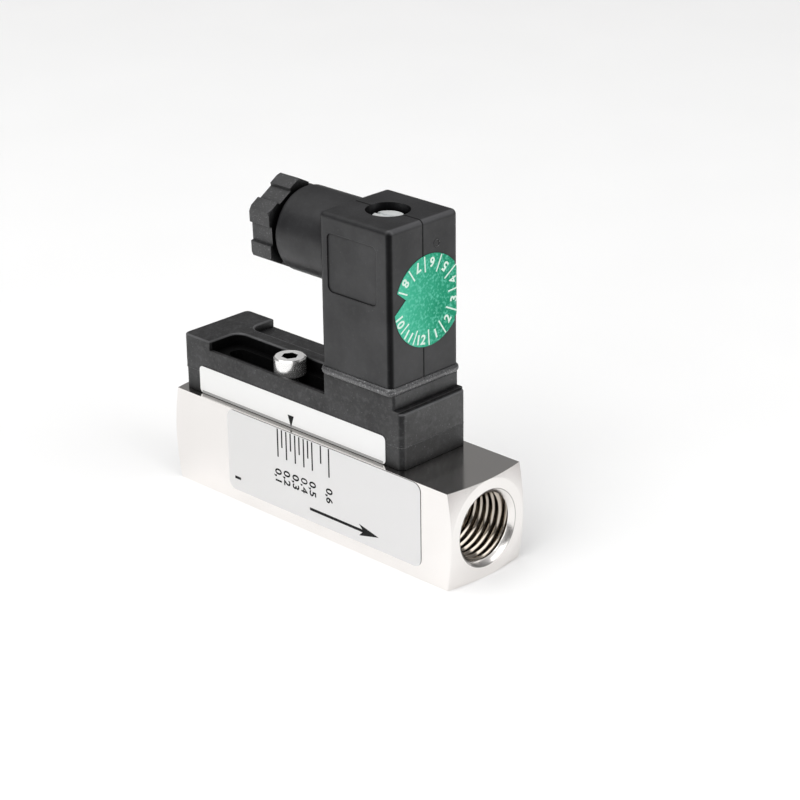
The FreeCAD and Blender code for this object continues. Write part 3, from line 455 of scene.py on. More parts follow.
@dataclass(frozen=True)
class Coat:
    """A printed or soft coat: an even colour with a fine mottle, or one that changes across to far.

    It serves for ink, the dial's green film, rubber, resin and the studio floor.
    """

    name: str
    colour: Colour
    mottle: Colour
    roughness: Pair = (0.4, 0.5)
    per_metre: float = 4000.0
    share: float = 0.5
    gloss: float = 0.5
    start: float = 0.4
    far: Colour | None = None
    run: Pair = mm(-6.0, 4.0)

    def make(self) -> Material:
        """Builds the material."""
        graph = Graph(self.name)
        grain = graph.noise(self.per_metre, 3.0)
        base: object = self.colour
        if self.far:
            across = graph.times(graph.span(graph.axis("Y"), *self.run),
                                 graph.span(graph.noise(240.0, 3.0), 0.3, 0.7, 0.8, 1.1))
            base = graph.blend(across, self.colour, self.far)
        mottled = graph.span(grain, self.start, 0.7, 0.0, self.share)
        graph.set(Base_Color=graph.blend(mottled, base, self.mottle), Specular_IOR_Level=self.gloss,
                  Roughness=graph.span(grain, 0.3, 0.7, *self.roughness),
                  Normal=graph.bump(grain, 1e-6))
        return graph.material


@dataclass(frozen=True)
class Glass:
    """The reed contact's clear greenish tube."""

    name: str = "reed_glass_tube"
    colour: Colour = (0.80, 0.92, 0.84)

    def make(self) -> Material:
        """Builds the material."""
        graph = Graph(self.name)
        graph.set(Base_Color=self.colour, Transmission_Weight=0.9, IOR=1.5,
                  Roughness=graph.span(graph.noise(900.0), 0.3, 0.7, 0.02, 0.07))
        return graph.material


BLACK = (0.012, 0.012, 0.0125)
FINISHES = {
    "nickel": NickelPlate(),
    "brass": Metal("turned_brass", (0.80, 0.58, 0.28), (0.70, 0.48, 0.22), (0.2, 0.34)),
    "stainless": Metal("turned_stainless", (0.62, 0.61, 0.60), (0.50, 0.50, 0.50), (0.2, 0.36)),
    # Painted shadow in the screw head's hex socket, the hollow box.
    "cap_screw": Metal("bright_zinc", (0.95, 0.945, 0.935), (0.88, 0.87, 0.86), (0.15, 0.24),
        depth=0.2e-6, metallic=0.82, top_metallic=0.25, reach=0.2 * MM,
        hollow=(mm(22.85, -5.05, 16.9), mm(25.95, -1.95, 19.25))),
    "slotted_screw": Metal("dull_zinc", (0.93, 0.95, 0.95), (0.52, 0.54, 0.55), (0.3, 0.5),
        (1.0, 0.22, 1.0), 2600.0, 2.4e-5, metallic=0.5, reach=0.5 * MM),
    "contact": Metal("tinned_contact", (0.78, 0.76, 0.72), (0.62, 0.60, 0.57), (0.22, 0.36)),
    "magnet": Metal("sintered_magnet", (0.10, 0.10, 0.11), (0.16, 0.16, 0.17), (0.45, 0.6)),
    # Painted highlights on the upper ridges, painted sheen towards the outlet and painted shade in
    # the pocket, the hollow box.
    "housing": Moulded("grained_black", BLACK, (0.14, 0.14, 0.145), (0.38, 0.56), 3600.0, 1.3e-5,
        0.66, outlet_gain=1.55, top_edges=0.9, mottle=0.2,
        hollow=(mm(8.2, -6.45, 7.0), mm(36.4, -0.5, 18.1))),
    "base": Moulded("grained_black_base", BLACK, (0.12, 0.12, 0.125), (0.38, 0.56), 3600.0, 1.2e-5,
        0.66, mottle=0.16),
    # Painted highlight on the outlet-side rim and painted shade on the upright corners.
    "plug": Moulded("satin_black", (0.012, 0.012, 0.013), (0.09, 0.09, 0.095), (0.3, 0.42), 4200.0,
        4e-6, 0.69, 0.22 * MM, 0.25, 0.46, rim=0.65, mottle=0.06, corner_level=0.3),
    "nut": Moulded("worn_black", (0.016, 0.016, 0.017), (0.13, 0.13, 0.135), (0.38, 0.55), 3400.0,
        1.1e-5, 0.62, gloss=0.75),
    "seam": Moulded("rough_seam", (0.03, 0.03, 0.031), (0.26, 0.26, 0.265), (0.4, 0.55), 6500.0,
        4e-6, 0.58, reach=0.3 * MM),
    "gasket": Moulded("grey_gasket", (0.045, 0.045, 0.047), (0.30, 0.30, 0.305), (0.24, 0.36),
        4000.0, 7e-6, 0.6, gloss=0.9, reach=0.5 * MM),
    "split": Coat("mould_line_black", (0.006, 0.006, 0.006), (0.02, 0.02, 0.02), (0.55, 0.7),
        gloss=0.12),
    "grey": Coat("grey_foot_band", (0.33, 0.33, 0.325), (0.40, 0.40, 0.395), (0.45, 0.55)),
    "insert": Coat("grey_carrier", (0.42, 0.42, 0.40), (0.50, 0.50, 0.48), (0.4, 0.55)),
    "ink": Coat("black_print", (0.008, 0.008, 0.008), (0.02, 0.02, 0.02), (0.5, 0.6), gloss=0.12),
    "film": Coat("green_film", (0.065, 0.53, 0.34), (0.16, 0.66, 0.49), (0.42, 0.52), 2300.0, 0.75,
        0.15, 0.48, (0.002, 0.27, 0.14)),
    "white": Coat("white_print", (0.74, 0.90, 0.81), (0.52, 0.78, 0.66), (0.45, 0.55), 6000.0, 0.4),
    "seal": Coat("black_seal", (0.02, 0.02, 0.02), (0.04, 0.04, 0.04), (0.5, 0.65)),
    "resin": Coat("cast_resin", (0.03, 0.03, 0.03), (0.05, 0.05, 0.05), (0.15, 0.3), 600.0),
    "floor": Coat("pale_floor", (0.95, 0.95, 0.95), (0.955, 0.955, 0.955), (0.7, 0.8), 40.0),
    "scale_foil": Foil("scale_foil", (0.74, 0.735, 0.73), (0.745, 0.74, 0.74)),
    "rating_foil": Foil("rating_foil", (0.86, 0.86, 0.85), (0.85, 0.85, 0.85), metallic=0.1),
    "glass": Glass(),
}
MADE: dict[str, Material] = {}


def material(name: str) -> Material:
    """The finish's material, made the first time it is asked for."""
    if name not in MADE:
        MADE[name] = FINISHES[name].make()
    return MADE[name]


def dress(nodes: Nodes, **finishes: str) -> None:
    """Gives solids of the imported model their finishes, each with the names of its solids."""
    for finish, names in finishes.items():
        for name in names.split():
            for place in nodes[name].material_slots:
                place.material = material(finish)
            LOG.info("%s: %s", name, finish)


# Modelling


class Bench:
    """Hand modelling: primitives, edit-mode operators and applied modifiers."""

    @staticmethod
    def clear() -> None:
        """Goes to object mode with nothing selected."""
        if bpy.context.object and bpy.context.object.mode != "OBJECT":
            bpy.ops.object.mode_set(mode="OBJECT")
        bpy.ops.object.select_all(action="DESELECT")

    @staticmethod
    def take(piece: Piece) -> None:
        """Selects one piece alone."""
        Bench.clear()
        bpy.context.view_layer.objects.active = piece
        piece.select_set(True)

    @staticmethod
    def settle(name: str) -> Piece:
        """Names the active object and puts its place into its mesh."""
        piece = bpy.context.active_object
        piece.name = piece.data.name = name
        bpy.ops.object.transform_apply(location=True, rotation=True, scale=True)
        return piece

    @staticmethod
    def block(name: str, low: Point, high: Point) -> Piece:
        """A box between two corners, as a start for a piece."""
        Bench.clear()
        middle = [(a + b) / 2 for a, b in zip(low, high)]
        bpy.ops.mesh.primitive_cube_add(size=1.0, location=middle)
        bpy.context.active_object.scale = [b - a for a, b in zip(low, high)]
        return Bench.settle(name)

    @staticmethod
    def outline(name: str, corners: Sequence[Point], fill: str = "NOTHING") -> Piece:
        """A closed line through corners, or the face inside it, as a start for a piece."""
        Bench.clear()
        bpy.ops.mesh.primitive_circle_add(vertices=len(corners), radius=MM, fill_type=fill)
        piece = Bench.settle(name)
        for vertex, corner in zip(piece.data.vertices, corners):
            vertex.co = corner
        return piece

    @staticmethod
    def choose(piece: Piece, pick: Pick, test: Test = lambda middle, run: True) -> None:
        """Enters edit mode and selects by place and direction.

        Args:
            piece: the object to edit.
            pick: what to select.
            test: takes an element's middle and its normal, or an edge's run, and says whether
                to select it. Without a test, all are selected.
        """
        bpy.context.view_layer.objects.active = piece
        piece.select_set(True)
        if piece.mode != "EDIT":
            bpy.ops.object.mode_set(mode="EDIT")
        bpy.ops.mesh.select_mode(type=pick.value)
        bpy.ops.mesh.select_all(action="DESELECT")
        mesh = bmesh.from_edit_mesh(piece.data)
        for face in mesh.faces if pick is Pick.FACES else ():
            face.select_set(test(face.calc_center_median(), face.normal))
        for edge in mesh.edges if pick is Pick.EDGES else ():
            start, end = (vertex.co for vertex in edge.verts)
            edge.select_set(test((start + end) / 2, (end - start).normalized()))
        if pick is Pick.VERTS:
            for vertex in mesh.verts:
                vertex.select_set(test(vertex.co, vertex.normal))
            mesh.select_flush_mode()
        bmesh.update_edit_mesh(piece.data)

    @staticmethod
    def modify(piece: Piece, kind: str, **settings: object) -> None:
        """Adds a modifier and applies it."""
        Bench.take(piece)
        modifier = piece.modifiers.new(kind.lower(), kind)
        for key, value in settings.items():
            setattr(modifier, key, value)
        bpy.ops.object.modifier_apply(modifier=modifier.name)

    @staticmethod
    def wind(name: str, corners: Sequence[Point], pitch: float, turns: int, steps: int) -> Piece:
        """Winds an outline about the flow axis, as a thread, or as a ring where pitch is 0.

        Args:
            name: the piece's name.
            corners: the outline.
            pitch: how far it moves along the axis in a turn.
            turns: the number of turns.
            steps: how many steps make a turn.

        Returns:
            The piece, whose ends are open where it is a thread.
        """
        piece = Bench.outline(name, corners)
        Bench.modify(piece, "SCREW", axis="X", screw_offset=pitch, iterations=turns, steps=steps,
                     render_steps=steps, use_merge_vertices=not pitch, merge_threshold=MERGE)
        return piece

    @staticmethod
    def face_outwards() -> None:
        """Turns all faces of the piece in edit mode outwards and leaves edit mode."""
        bpy.ops.mesh.select_all(action="SELECT")
        bpy.ops.mesh.normals_make_consistent(inside=False)
        bpy.ops.object.mode_set(mode="OBJECT")

    @staticmethod
    def recalculate(piece: Piece) -> None:
        """Merges doubles and turns all faces outwards."""
        Bench.choose(piece, Pick.VERTS)
        bpy.ops.mesh.remove_doubles(threshold=MERGE)
        Bench.face_outwards()

    @staticmethod
    def close(piece: Piece) -> None:
        """Closes a piece's open ends."""
        Bench.choose(piece, Pick.EDGES, lambda middle, run: False)
        bpy.ops.mesh.select_non_manifold()
        bpy.ops.mesh.edge_face_add()
        Bench.recalculate(piece)

    @staticmethod
    def bevel(piece: Piece, test: Test, width: float, segments: int) -> None:
        """Rounds the edges that test picks, by a width in millimetres."""
        Bench.choose(piece, Pick.EDGES, test)
        bpy.ops.mesh.bevel(offset=width * MM, segments=segments, affect="EDGES")

    @staticmethod
    def join(name: str, pieces: Sequence[Piece]) -> Piece:
        """Makes one piece of several."""
        Bench.clear()
        for piece in pieces:
            piece.select_set(True)
        bpy.context.view_layer.objects.active = pieces[0]
        bpy.ops.object.join()
        return Bench.settle(name)

    @staticmethod
    def finish(piece: Piece, ride: Ride, slot: Slot, finish: str, angle: float = 35.0) -> None:
        """Smooths, dresses and hands over a piece.

        Args:
            piece: the finished mesh object.
            ride: the body that it moves with.
            slot: the record's slot; not used.
            finish: the finish's name.
            angle: edges sharper than this stay sharp, in degrees.
        """
        Bench.take(piece)
        bpy.ops.object.shade_smooth_by_angle(angle=math.radians(angle))
        piece.data.materials.clear()
        piece.data.materials.append(material(finish))
        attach(piece, ride.value)
        LOG.info("%s rides on %s in %s", piece.name, ride.value, finish)


@dataclass(frozen=True)
class Print:
    """Ink that stands a hair above the surface it is printed on.

    The flat pattern lies in x and y, and lay turns and moves it to its place. Outline points closer
    than tiny are made one, and a 4 is thickened by closed_bold at most, or its counter would close.
    """

    lay: Matrix
    thickness: float = 0.012 * MM
    tiny: float = 0.005
    closed_bold: float = 0.012

    def thicken(self, name: str, piece: Piece, lay: Matrix) -> Piece:
        """Gives a flat shape the ink's thickness and lays it in its place."""
        Bench.choose(piece, Pick.FACES)
        bpy.ops.mesh.remove_doubles(threshold=MERGE)
        lift = (0.0, 0.0, self.thickness)
        bpy.ops.mesh.extrude_region_move(TRANSFORM_OT_translate={"value": lift})
        Bench.face_outwards()
        piece.data.transform(lay)
        return Bench.settle(name)

    def patch(self, name: str, corners: Sequence[Pair]) -> Piece:
        """A printed shape, given by the corners of its flat outline, in order, in millimetres."""
        flat = [mm(x, y, 0.0) for x, y in corners]
        return self.thicken(name, Bench.outline(name, flat, "NGON"), self.lay)

    def bar(self, name: str, centre: Pair, size: Pair) -> Piece:
        """A printed rectangle with slightly soft corners, in millimetres."""
        (x, y), (half_x, half_y) = centre, (size[0] / 2, size[1] / 2)
        soft = min(half_x, half_y) * 0.25
        corners = []
        for right, up in ((-1, -1), (1, -1), (1, 1), (-1, 1)):
            cuts = [(0.0, soft), (soft, 0.0)] if right == up else [(soft, 0.0), (0.0, soft)]
            corners += [(x + right * (half_x - a), y + up * (half_y - b)) for a, b in cuts]
        return self.patch(name, corners)

    def number(self, name: str, text: str, height: float, centre: Pair,
               turn: float, bold: float = 0.02, widen: float = 1.0) -> Piece:
        """A printed number.

        Args:
            name: the piece's name.
            text: the digits.
            height: the digits' height, in millimetres.
            centre: the middle of the number on the flat pattern, in millimetres.
            turn: how far it is turned, in radians, counter-clockwise.
            bold: how much the strokes are thickened, as a share of the text's size.
            widen: how much the digits are widened.

        Returns:
            The piece.
        """
        Bench.clear()
        bpy.ops.object.text_add()
        words = bpy.context.active_object
        words.data.body = text
        words.data.resolution_u = 6
        bpy.ops.object.convert(target="CURVE")
        strokes = bpy.context.active_object
        bpy.ops.object.mode_set(mode="EDIT")
        bpy.ops.curve.select_all(action="DESELECT")
        near = []
        for spline in strokes.data.splines:
            points = list(spline.bezier_points)
            near += [point for point, after in zip(points, [*points[1:], points[0]])
                     if (after.co - point.co).length < self.tiny]
        for point in near:
            point.select_control_point = True
        if near:
            bpy.ops.curve.delete(type="VERT")
        bpy.ops.object.mode_set(mode="OBJECT")
        strokes.data.offset = min(bold, self.closed_bold) if "4" in text else bold
        bpy.ops.object.convert(target="MESH")
        piece = bpy.context.active_object
        wide, tall = zip(*(vertex.co.xy for vertex in piece.data.vertices))
        scale = height * MM / (max(tall) - max(min(tall), -0.02))
        middle = Vector(((max(wide) + min(wide)) / 2, max(tall) / 2, 0.0))
        stretch = Matrix.Scale(widen, 4, Vector((1.0, 0.0, 0.0)))
        piece.data.transform(Matrix.Scale(scale, 4) @ stretch @ Matrix.Translation(-middle))
        spot = Matrix.Translation(mm(*centre, 0.0))
        return self.thicken(name, piece, self.lay @ spot @ Matrix.Rotation(turn, 4, "Z"))


def upright(middle: Vector, run: Vector) -> bool:
    """Whether an edge stands upright, or a face looks up or down."""
    return abs(run.z) > 0.9


def facing_near(y: float) -> Matrix:
    """Lays a flat pattern on a face that looks along -Y: its x runs along X and its y up Z."""
    return Matrix.Translation((0.0, y, 0.0)) @ Matrix.Rotation(math.radians(90), 4, "X")


# Sub-assemblies


@dataclass
class FlowBody:
    """The plated bar with its two threaded ports, and what is held in the bore."""

    pitch: float = 1.337 * MM
    crest_radius: float = 5.74 * MM
    root_radius: float = 6.62 * MM
    first_ridge: float = 1.35 * MM
    turns: int = 7
    steps: int = 64
    fade_turns: float = 0.35
    mouth_steps: int = 96
    spring_wire: float = 0.18 * MM
    spring_turns: int = 5
    spring_steps: int = 36
    float_stroke: float = 13.0 * MM

    def thread(self, name: str, start: float) -> None:
        """One port's right-handed thread ridge, with its foot inside the wall.

        Args:
            name: the piece's name.
            start: where the ridge begins along the flow.
        """
        rise = self.root_radius - self.crest_radius
        side = [(0.47, 0.0), (0.45, 0.08), (0.155, 0.86), (0.08, 0.975)]
        shape = [(-along, up) for along, up in side] + side[::-1]
        profile = [(start + along * self.pitch, 0.0, self.root_radius - rise * up)
                   for along, up in shape]
        piece = Bench.wind(name, profile, self.pitch, self.turns, self.steps)
        rings = len(piece.data.vertices) // len(profile)
        fade = self.fade_turns * self.steps
        for index, vertex in enumerate(piece.data.vertices):
            ring = index // len(profile)
            share = min(1.0, (ring + 1) / fade, (rings - ring) / fade)
            radius = vertex.co.yz.length
            vertex.co.yz *= (self.root_radius - (self.root_radius - radius) * share) / radius
        Bench.close(piece)
        Bench.finish(piece, Ride.BODY, Slot.NICKEL, "nickel", 30.0)

    def mouth(self, name: str, face: float, inwards: float) -> None:
        """One port's countersink: a ring whose cone runs from the face down to the thread's crest.

        Args:
            name: the piece's name.
            face: the end face's place along the flow.
            inwards: 1 or -1, the way into the bar.
        """
        wall, crest = self.root_radius / MM, self.crest_radius / MM
        depth = wall - crest
        shape = [(0.03, wall), (0.03, wall - 0.05), (0.06, wall - 0.1),
                 (depth - 0.03, crest + 0.02), (depth + 0.03, crest), (depth + 0.1, crest + 0.02),
                 (depth + 0.35, wall)]
        ring = [(face + inwards * along * MM, 0.0, radius * MM) for along, radius in shape]
        piece = Bench.wind(name, ring, 0.0, 1, self.mouth_steps)
        Bench.recalculate(piece)
        Bench.finish(piece, Ride.BODY, Slot.NICKEL, "nickel", 30.0)

    def spring(self) -> None:
        """Models the return spring, which the float presses together against its seat."""
        low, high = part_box("return_spring")
        length, wire = high.x - low.x, self.spring_wire
        start, reach = low.x + wire, (high.z - low.z) / 2 - wire
        corners = [(start + wire * math.cos(turn), 0.0, reach + wire * math.sin(turn))
                   for turn in (math.pi / 4 * step for step in range(8))]
        piece = Bench.wind("return_coil", corners, (length - 2 * wire) / self.spring_turns,
                           self.spring_turns, self.spring_steps)
        Bench.close(piece)
        Bench.finish(piece, Ride.BODY, Slot.SPRING, "stainless", 60.0)
        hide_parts("return_spring")
        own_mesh(piece)

    def build(self, nodes: Nodes) -> None:
        """Models the threads and the spring and dresses the bar and its insert."""
        low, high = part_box("flow_body")
        self.mouth("inlet_mouth", low.x, 1.0)
        self.mouth("outlet_mouth", high.x, -1.0)
        self.thread("inlet_thread", low.x + self.first_ridge)
        self.thread("outlet_thread", high.x - self.first_ridge - self.turns * self.pitch)
        self.spring()
        dress(nodes, nickel="flow_body", brass="metering_sleeve spring_seat",
              stainless="retaining_ring return_spring float_shell float_plug",
              magnet="float_magnet", cap_screw="clamp_screw")


@dataclass
class ScalePlate:
    """The foil on the body with its graduation, numbers and flow arrow, in millimetres."""

    lines: tuple[float, ...] = (26.26, 27.28, 28.34, 29.38, 30.47, 31.47, 32.53, 33.53, 34.55, 36.6,
                                38.51)
    line_top: float = 8.25
    long_bottom: float = 3.1
    short_bottom: float = 5.0
    line_width: float = 0.3
    number_height: float = 1.55
    number_middle: float = -0.3
    number_bold: float = 0.022
    number_widen: float = 1.1
    arrow_level: float = -4.1
    arrow: Point = (33.7, 45.5, 49.85)
    shaft_width: float = 0.52
    shaft_overlap: float = 0.9
    barb: Point = (-0.2, 0.85, 1.05)
    dash: Pair = (15.9, -4.05)
    dash_size: Pair = (1.5, 0.5)

    def build(self, nodes: Nodes) -> None:
        """Prints the scale and dresses the foil."""
        ink = Print(facing_near(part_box("scale_label")[0].y))
        marks = []
        for index, x in enumerate(self.lines):
            bottom = self.short_bottom if index % 2 else self.long_bottom
            marks.append(ink.bar(f"line_{index}", (x, (self.line_top + bottom) / 2),
                                 (self.line_width, self.line_top - bottom)))
        digits = [ink.number(f"number_{index}", f"0,{index + 1}", self.number_height,
                             (x, self.number_middle), math.radians(-90), self.number_bold,
                             self.number_widen)
                  for index, x in enumerate(self.lines[::2])]
        (start, head, tip), level = self.arrow, self.arrow_level
        back, notch, half = self.barb
        end = head + self.shaft_overlap
        arrow = [
            ink.bar("arrow_shaft", ((start + end) / 2, level), (end - start, self.shaft_width)),
            ink.patch("arrow_head", [(head + back, level + half), (head + notch, level),
                                     (head + back, level - half), (tip, level)]),
            ink.bar("flow_dash", self.dash, self.dash_size)]
        for name, parts in (("scale_lines", marks), ("scale_numbers", digits),
                            ("flow_arrow", arrow)):
            Bench.finish(Bench.join(name, parts), Ride.BODY, Slot.FOIL, "ink")
        dress(nodes, scale_foil="scale_label")


@dataclass
class SwitchHousing:
    """The sliding housing with its rating foil, the pointer, its seam and the gasket, in mm."""

    pointer: Point = (27.5, 28.95, 10.75)
    pointer_tip: float = 8.64
    foot: float = 0.5
    seam_level: float = 12.4
    seam_width: float = 0.1
    seam_rise: float = 0.03
    gasket_inset: float = 2.45
    gasket_soft: float = 0.66
    gasket_corner: float = 1.4
    gasket_band: float = 1.2

    def print_pointer(self) -> None:
        """Prints the black set-point triangle and lays a grey band along the foil's foot."""
        low, high = (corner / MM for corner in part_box("rating_label"))
        lay = facing_near(low.y * MM)
        left, right, top = self.pointer
        triangle = Print(lay, 0.02 * MM).patch(
            "pointer", [(left, top), ((left + right) / 2, self.pointer_tip), (right, top)])
        Bench.finish(triangle, Ride.SWITCH, Slot.FOIL, "ink")
        middle = ((low.x + high.x) / 2, low.z + self.foot / 2)
        foot = Print(lay, 0.008 * MM).bar("rating_foot", middle, (high.x - low.x - 1.0, self.foot))
        Bench.finish(foot, Ride.SWITCH, Slot.FOIL, "grey")

    def seam(self) -> None:
        """Models the weld line between the two mouldings as a low bead round the housing."""
        low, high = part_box("switch_housing")
        rise, half, level = mm(self.seam_rise, self.seam_width / 2, self.seam_level)
        piece = Bench.block("housing_seam", (low.x - rise, low.y - rise, level - half),
                            (high.x + rise, high.y + rise, level + half))
        Bench.bevel(piece, upright, 1.0, 6)
        Bench.bevel(piece, lambda middle, run: abs(run.z) < 0.5 and
                    abs(middle.z - level) > half * 0.5, 0.024, 2)
        Bench.choose(piece, Pick.FACES, upright)
        bpy.ops.mesh.inset(thickness=0.5 * MM)
        bpy.ops.mesh.bridge_edge_loops()
        Bench.recalculate(piece)
        Bench.finish(piece, Ride.SWITCH, Slot.HOUSING, "seam")

    def gasket(self) -> None:
        """Models the soft gasket with its full round lip, in place of the plain solid."""
        low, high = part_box("plug_gasket")
        centre, span = (low + high) / 2, (high.x - low.x) / 2
        band, step = self.gasket_band * MM, 0.01 * MM
        piece = Bench.block("gasket_profile", low, high)
        Bench.bevel(piece, upright, self.gasket_corner, 8)
        Bench.choose(piece, Pick.FACES, upright)
        bpy.ops.mesh.inset(thickness=band)
        bpy.ops.mesh.inset(thickness=step)
        inwards = (span - self.gasket_inset * MM) / (span - band - step)
        bpy.ops.transform.resize(value=(inwards, inwards, 1.0), center_override=tuple(centre))
        bpy.ops.mesh.bridge_edge_loops()

        def on_rim(middle: Vector, run: Vector) -> bool:
            """Whether an edge is on the outer rim's top or bottom."""
            level = min(abs(middle.z - low.z), abs(middle.z - high.z)) < 1e-6
            out = max(abs(middle.x - centre.x), abs(middle.y - centre.y))
            return level and abs(run.z) < 0.5 and out > span - band / 2.4

        Bench.bevel(piece, on_rim, self.gasket_soft, 6)
        Bench.recalculate(piece)
        Bench.finish(piece, Ride.SWITCH, Slot.GASKET, "gasket", 50.0)
        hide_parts("plug_gasket")

    def build(self, nodes: Nodes) -> None:
        """Models the housing's marks and gasket and dresses its solids."""
        self.print_pointer()
        self.seam()
        self.gasket()
        dress(nodes, housing="switch_housing", base="housing_base", rating_foil="rating_label",
              glass="reed_capsule", contact="reed_leads contact_pins earth_pin", resin="potting",
              brass="threaded_insert")


@dataclass
class CablePlug:
    """The square plug: its mould parting line, ejector mark, gland and inner parts, in mm."""

    line_y: float = -0.3
    line_width: float = 0.19
    line_rise: float = 0.035
    top_soft: float = 0.9
    bend_steps: int = 6
    hole_radius: float = 3.65
    inlet_end: float = 12.0
    mark: Pair = (2.85, 44.2)
    mark_radius: float = 0.6
    mark_wire: float = 0.09

    def parting_line(self) -> None:
        """Models the parting line: over the top, round the outlet edge and down that face."""
        low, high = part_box("plug_housing")
        soft, lift, hole = mm(self.top_soft, self.line_rise, self.hole_radius)
        screw_x = sum(corner.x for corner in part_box("central_screw")) / 2
        top = high.z + lift
        bend = [(high.x - soft + (soft + lift) * math.sin(turn),
                 high.z - soft + (soft + lift) * math.cos(turn))
                for turn in (math.pi / 2 * step / self.bend_steps
                             for step in range(self.bend_steps + 1))]
        ribbons = [
            self.ribbon("outlet_line", [(screw_x + hole, top), *bend,
                                        (high.x + lift, low.z + 0.1 * MM)]),
            self.ribbon("inlet_line", [(low.x + self.inlet_end * MM, top), (screw_x - hole, top)])]
        piece = Bench.join("plug_parting_line", ribbons)
        Bench.modify(piece, "SOLIDIFY", thickness=2 * lift, offset=-1.0)
        Bench.recalculate(piece)
        Bench.finish(piece, Ride.PLUG, Slot.PLUG, "split", 50.0)

    def ribbon(self, name: str, run: Sequence[Pair]) -> Piece:
        """A narrow strip along points in x and z, drawn out edge by edge.

        Args:
            name: the piece's name.
            run: the (x, z) points, in metres.

        Returns:
            The strip, whose upper side faces outwards.
        """
        Bench.clear()
        near, far = ((self.line_y + side * self.line_width / 2) * MM for side in (-1, 1))
        bpy.ops.mesh.primitive_plane_add(size=1.0)
        piece = Bench.settle(name)
        (x0, z0), (x1, z1) = run[:2]
        corners = [(x0, near, z0), (x1, near, z1), (x0, far, z0), (x1, far, z1)]
        for vertex, corner in zip(piece.data.vertices, corners):
            vertex.co = corner
        Bench.choose(piece, Pick.VERTS, lambda spot, normal: math.dist(spot.xz, (x1, z1)) < MERGE)
        bpy.ops.mesh.select_mode(type="EDGE")
        for (xa, za), (xb, zb) in zip(run[1:], run[2:]):
            step = (xb - xa, 0.0, zb - za)
            bpy.ops.mesh.extrude_region_move(TRANSFORM_OT_translate={"value": step})
        Bench.face_outwards()
        if piece.data.polygons[0].normal.z < 0:
            piece.data.flip_normals()
        return piece

    def ejector_mark(self) -> None:
        """Models the small round mark above the sticker."""
        _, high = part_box("plug_housing")
        y, z = self.mark
        Bench.clear()
        bpy.ops.mesh.primitive_torus_add(
            location=(high.x, y * MM, z * MM), rotation=(0.0, math.radians(90), 0.0),
            major_radius=self.mark_radius * MM, minor_radius=self.mark_wire * MM,
            major_segments=28, minor_segments=8)
        piece = Bench.settle("plug_round_mark")
        Bench.choose(piece, Pick.FACES, lambda middle, normal: middle.x < high.x - 0.02 * MM)
        bpy.ops.mesh.delete(type="FACE")
        Bench.finish(piece, Ride.PLUG, Slot.PLUG, "seam")

    def build(self, nodes: Nodes) -> None:
        """Models the plug's moulding marks and dresses its solids."""
        self.parting_line()
        self.ejector_mark()
        dress(nodes, plug="plug_housing", insert="contact_insert", nut="gland_nut",
              contact="socket_contacts earth_contact", seal="screw_seal gland_seal",
              slotted_screw="terminal_screws central_screw", cap_screw="gland_washer",
              gasket="plug_gasket")


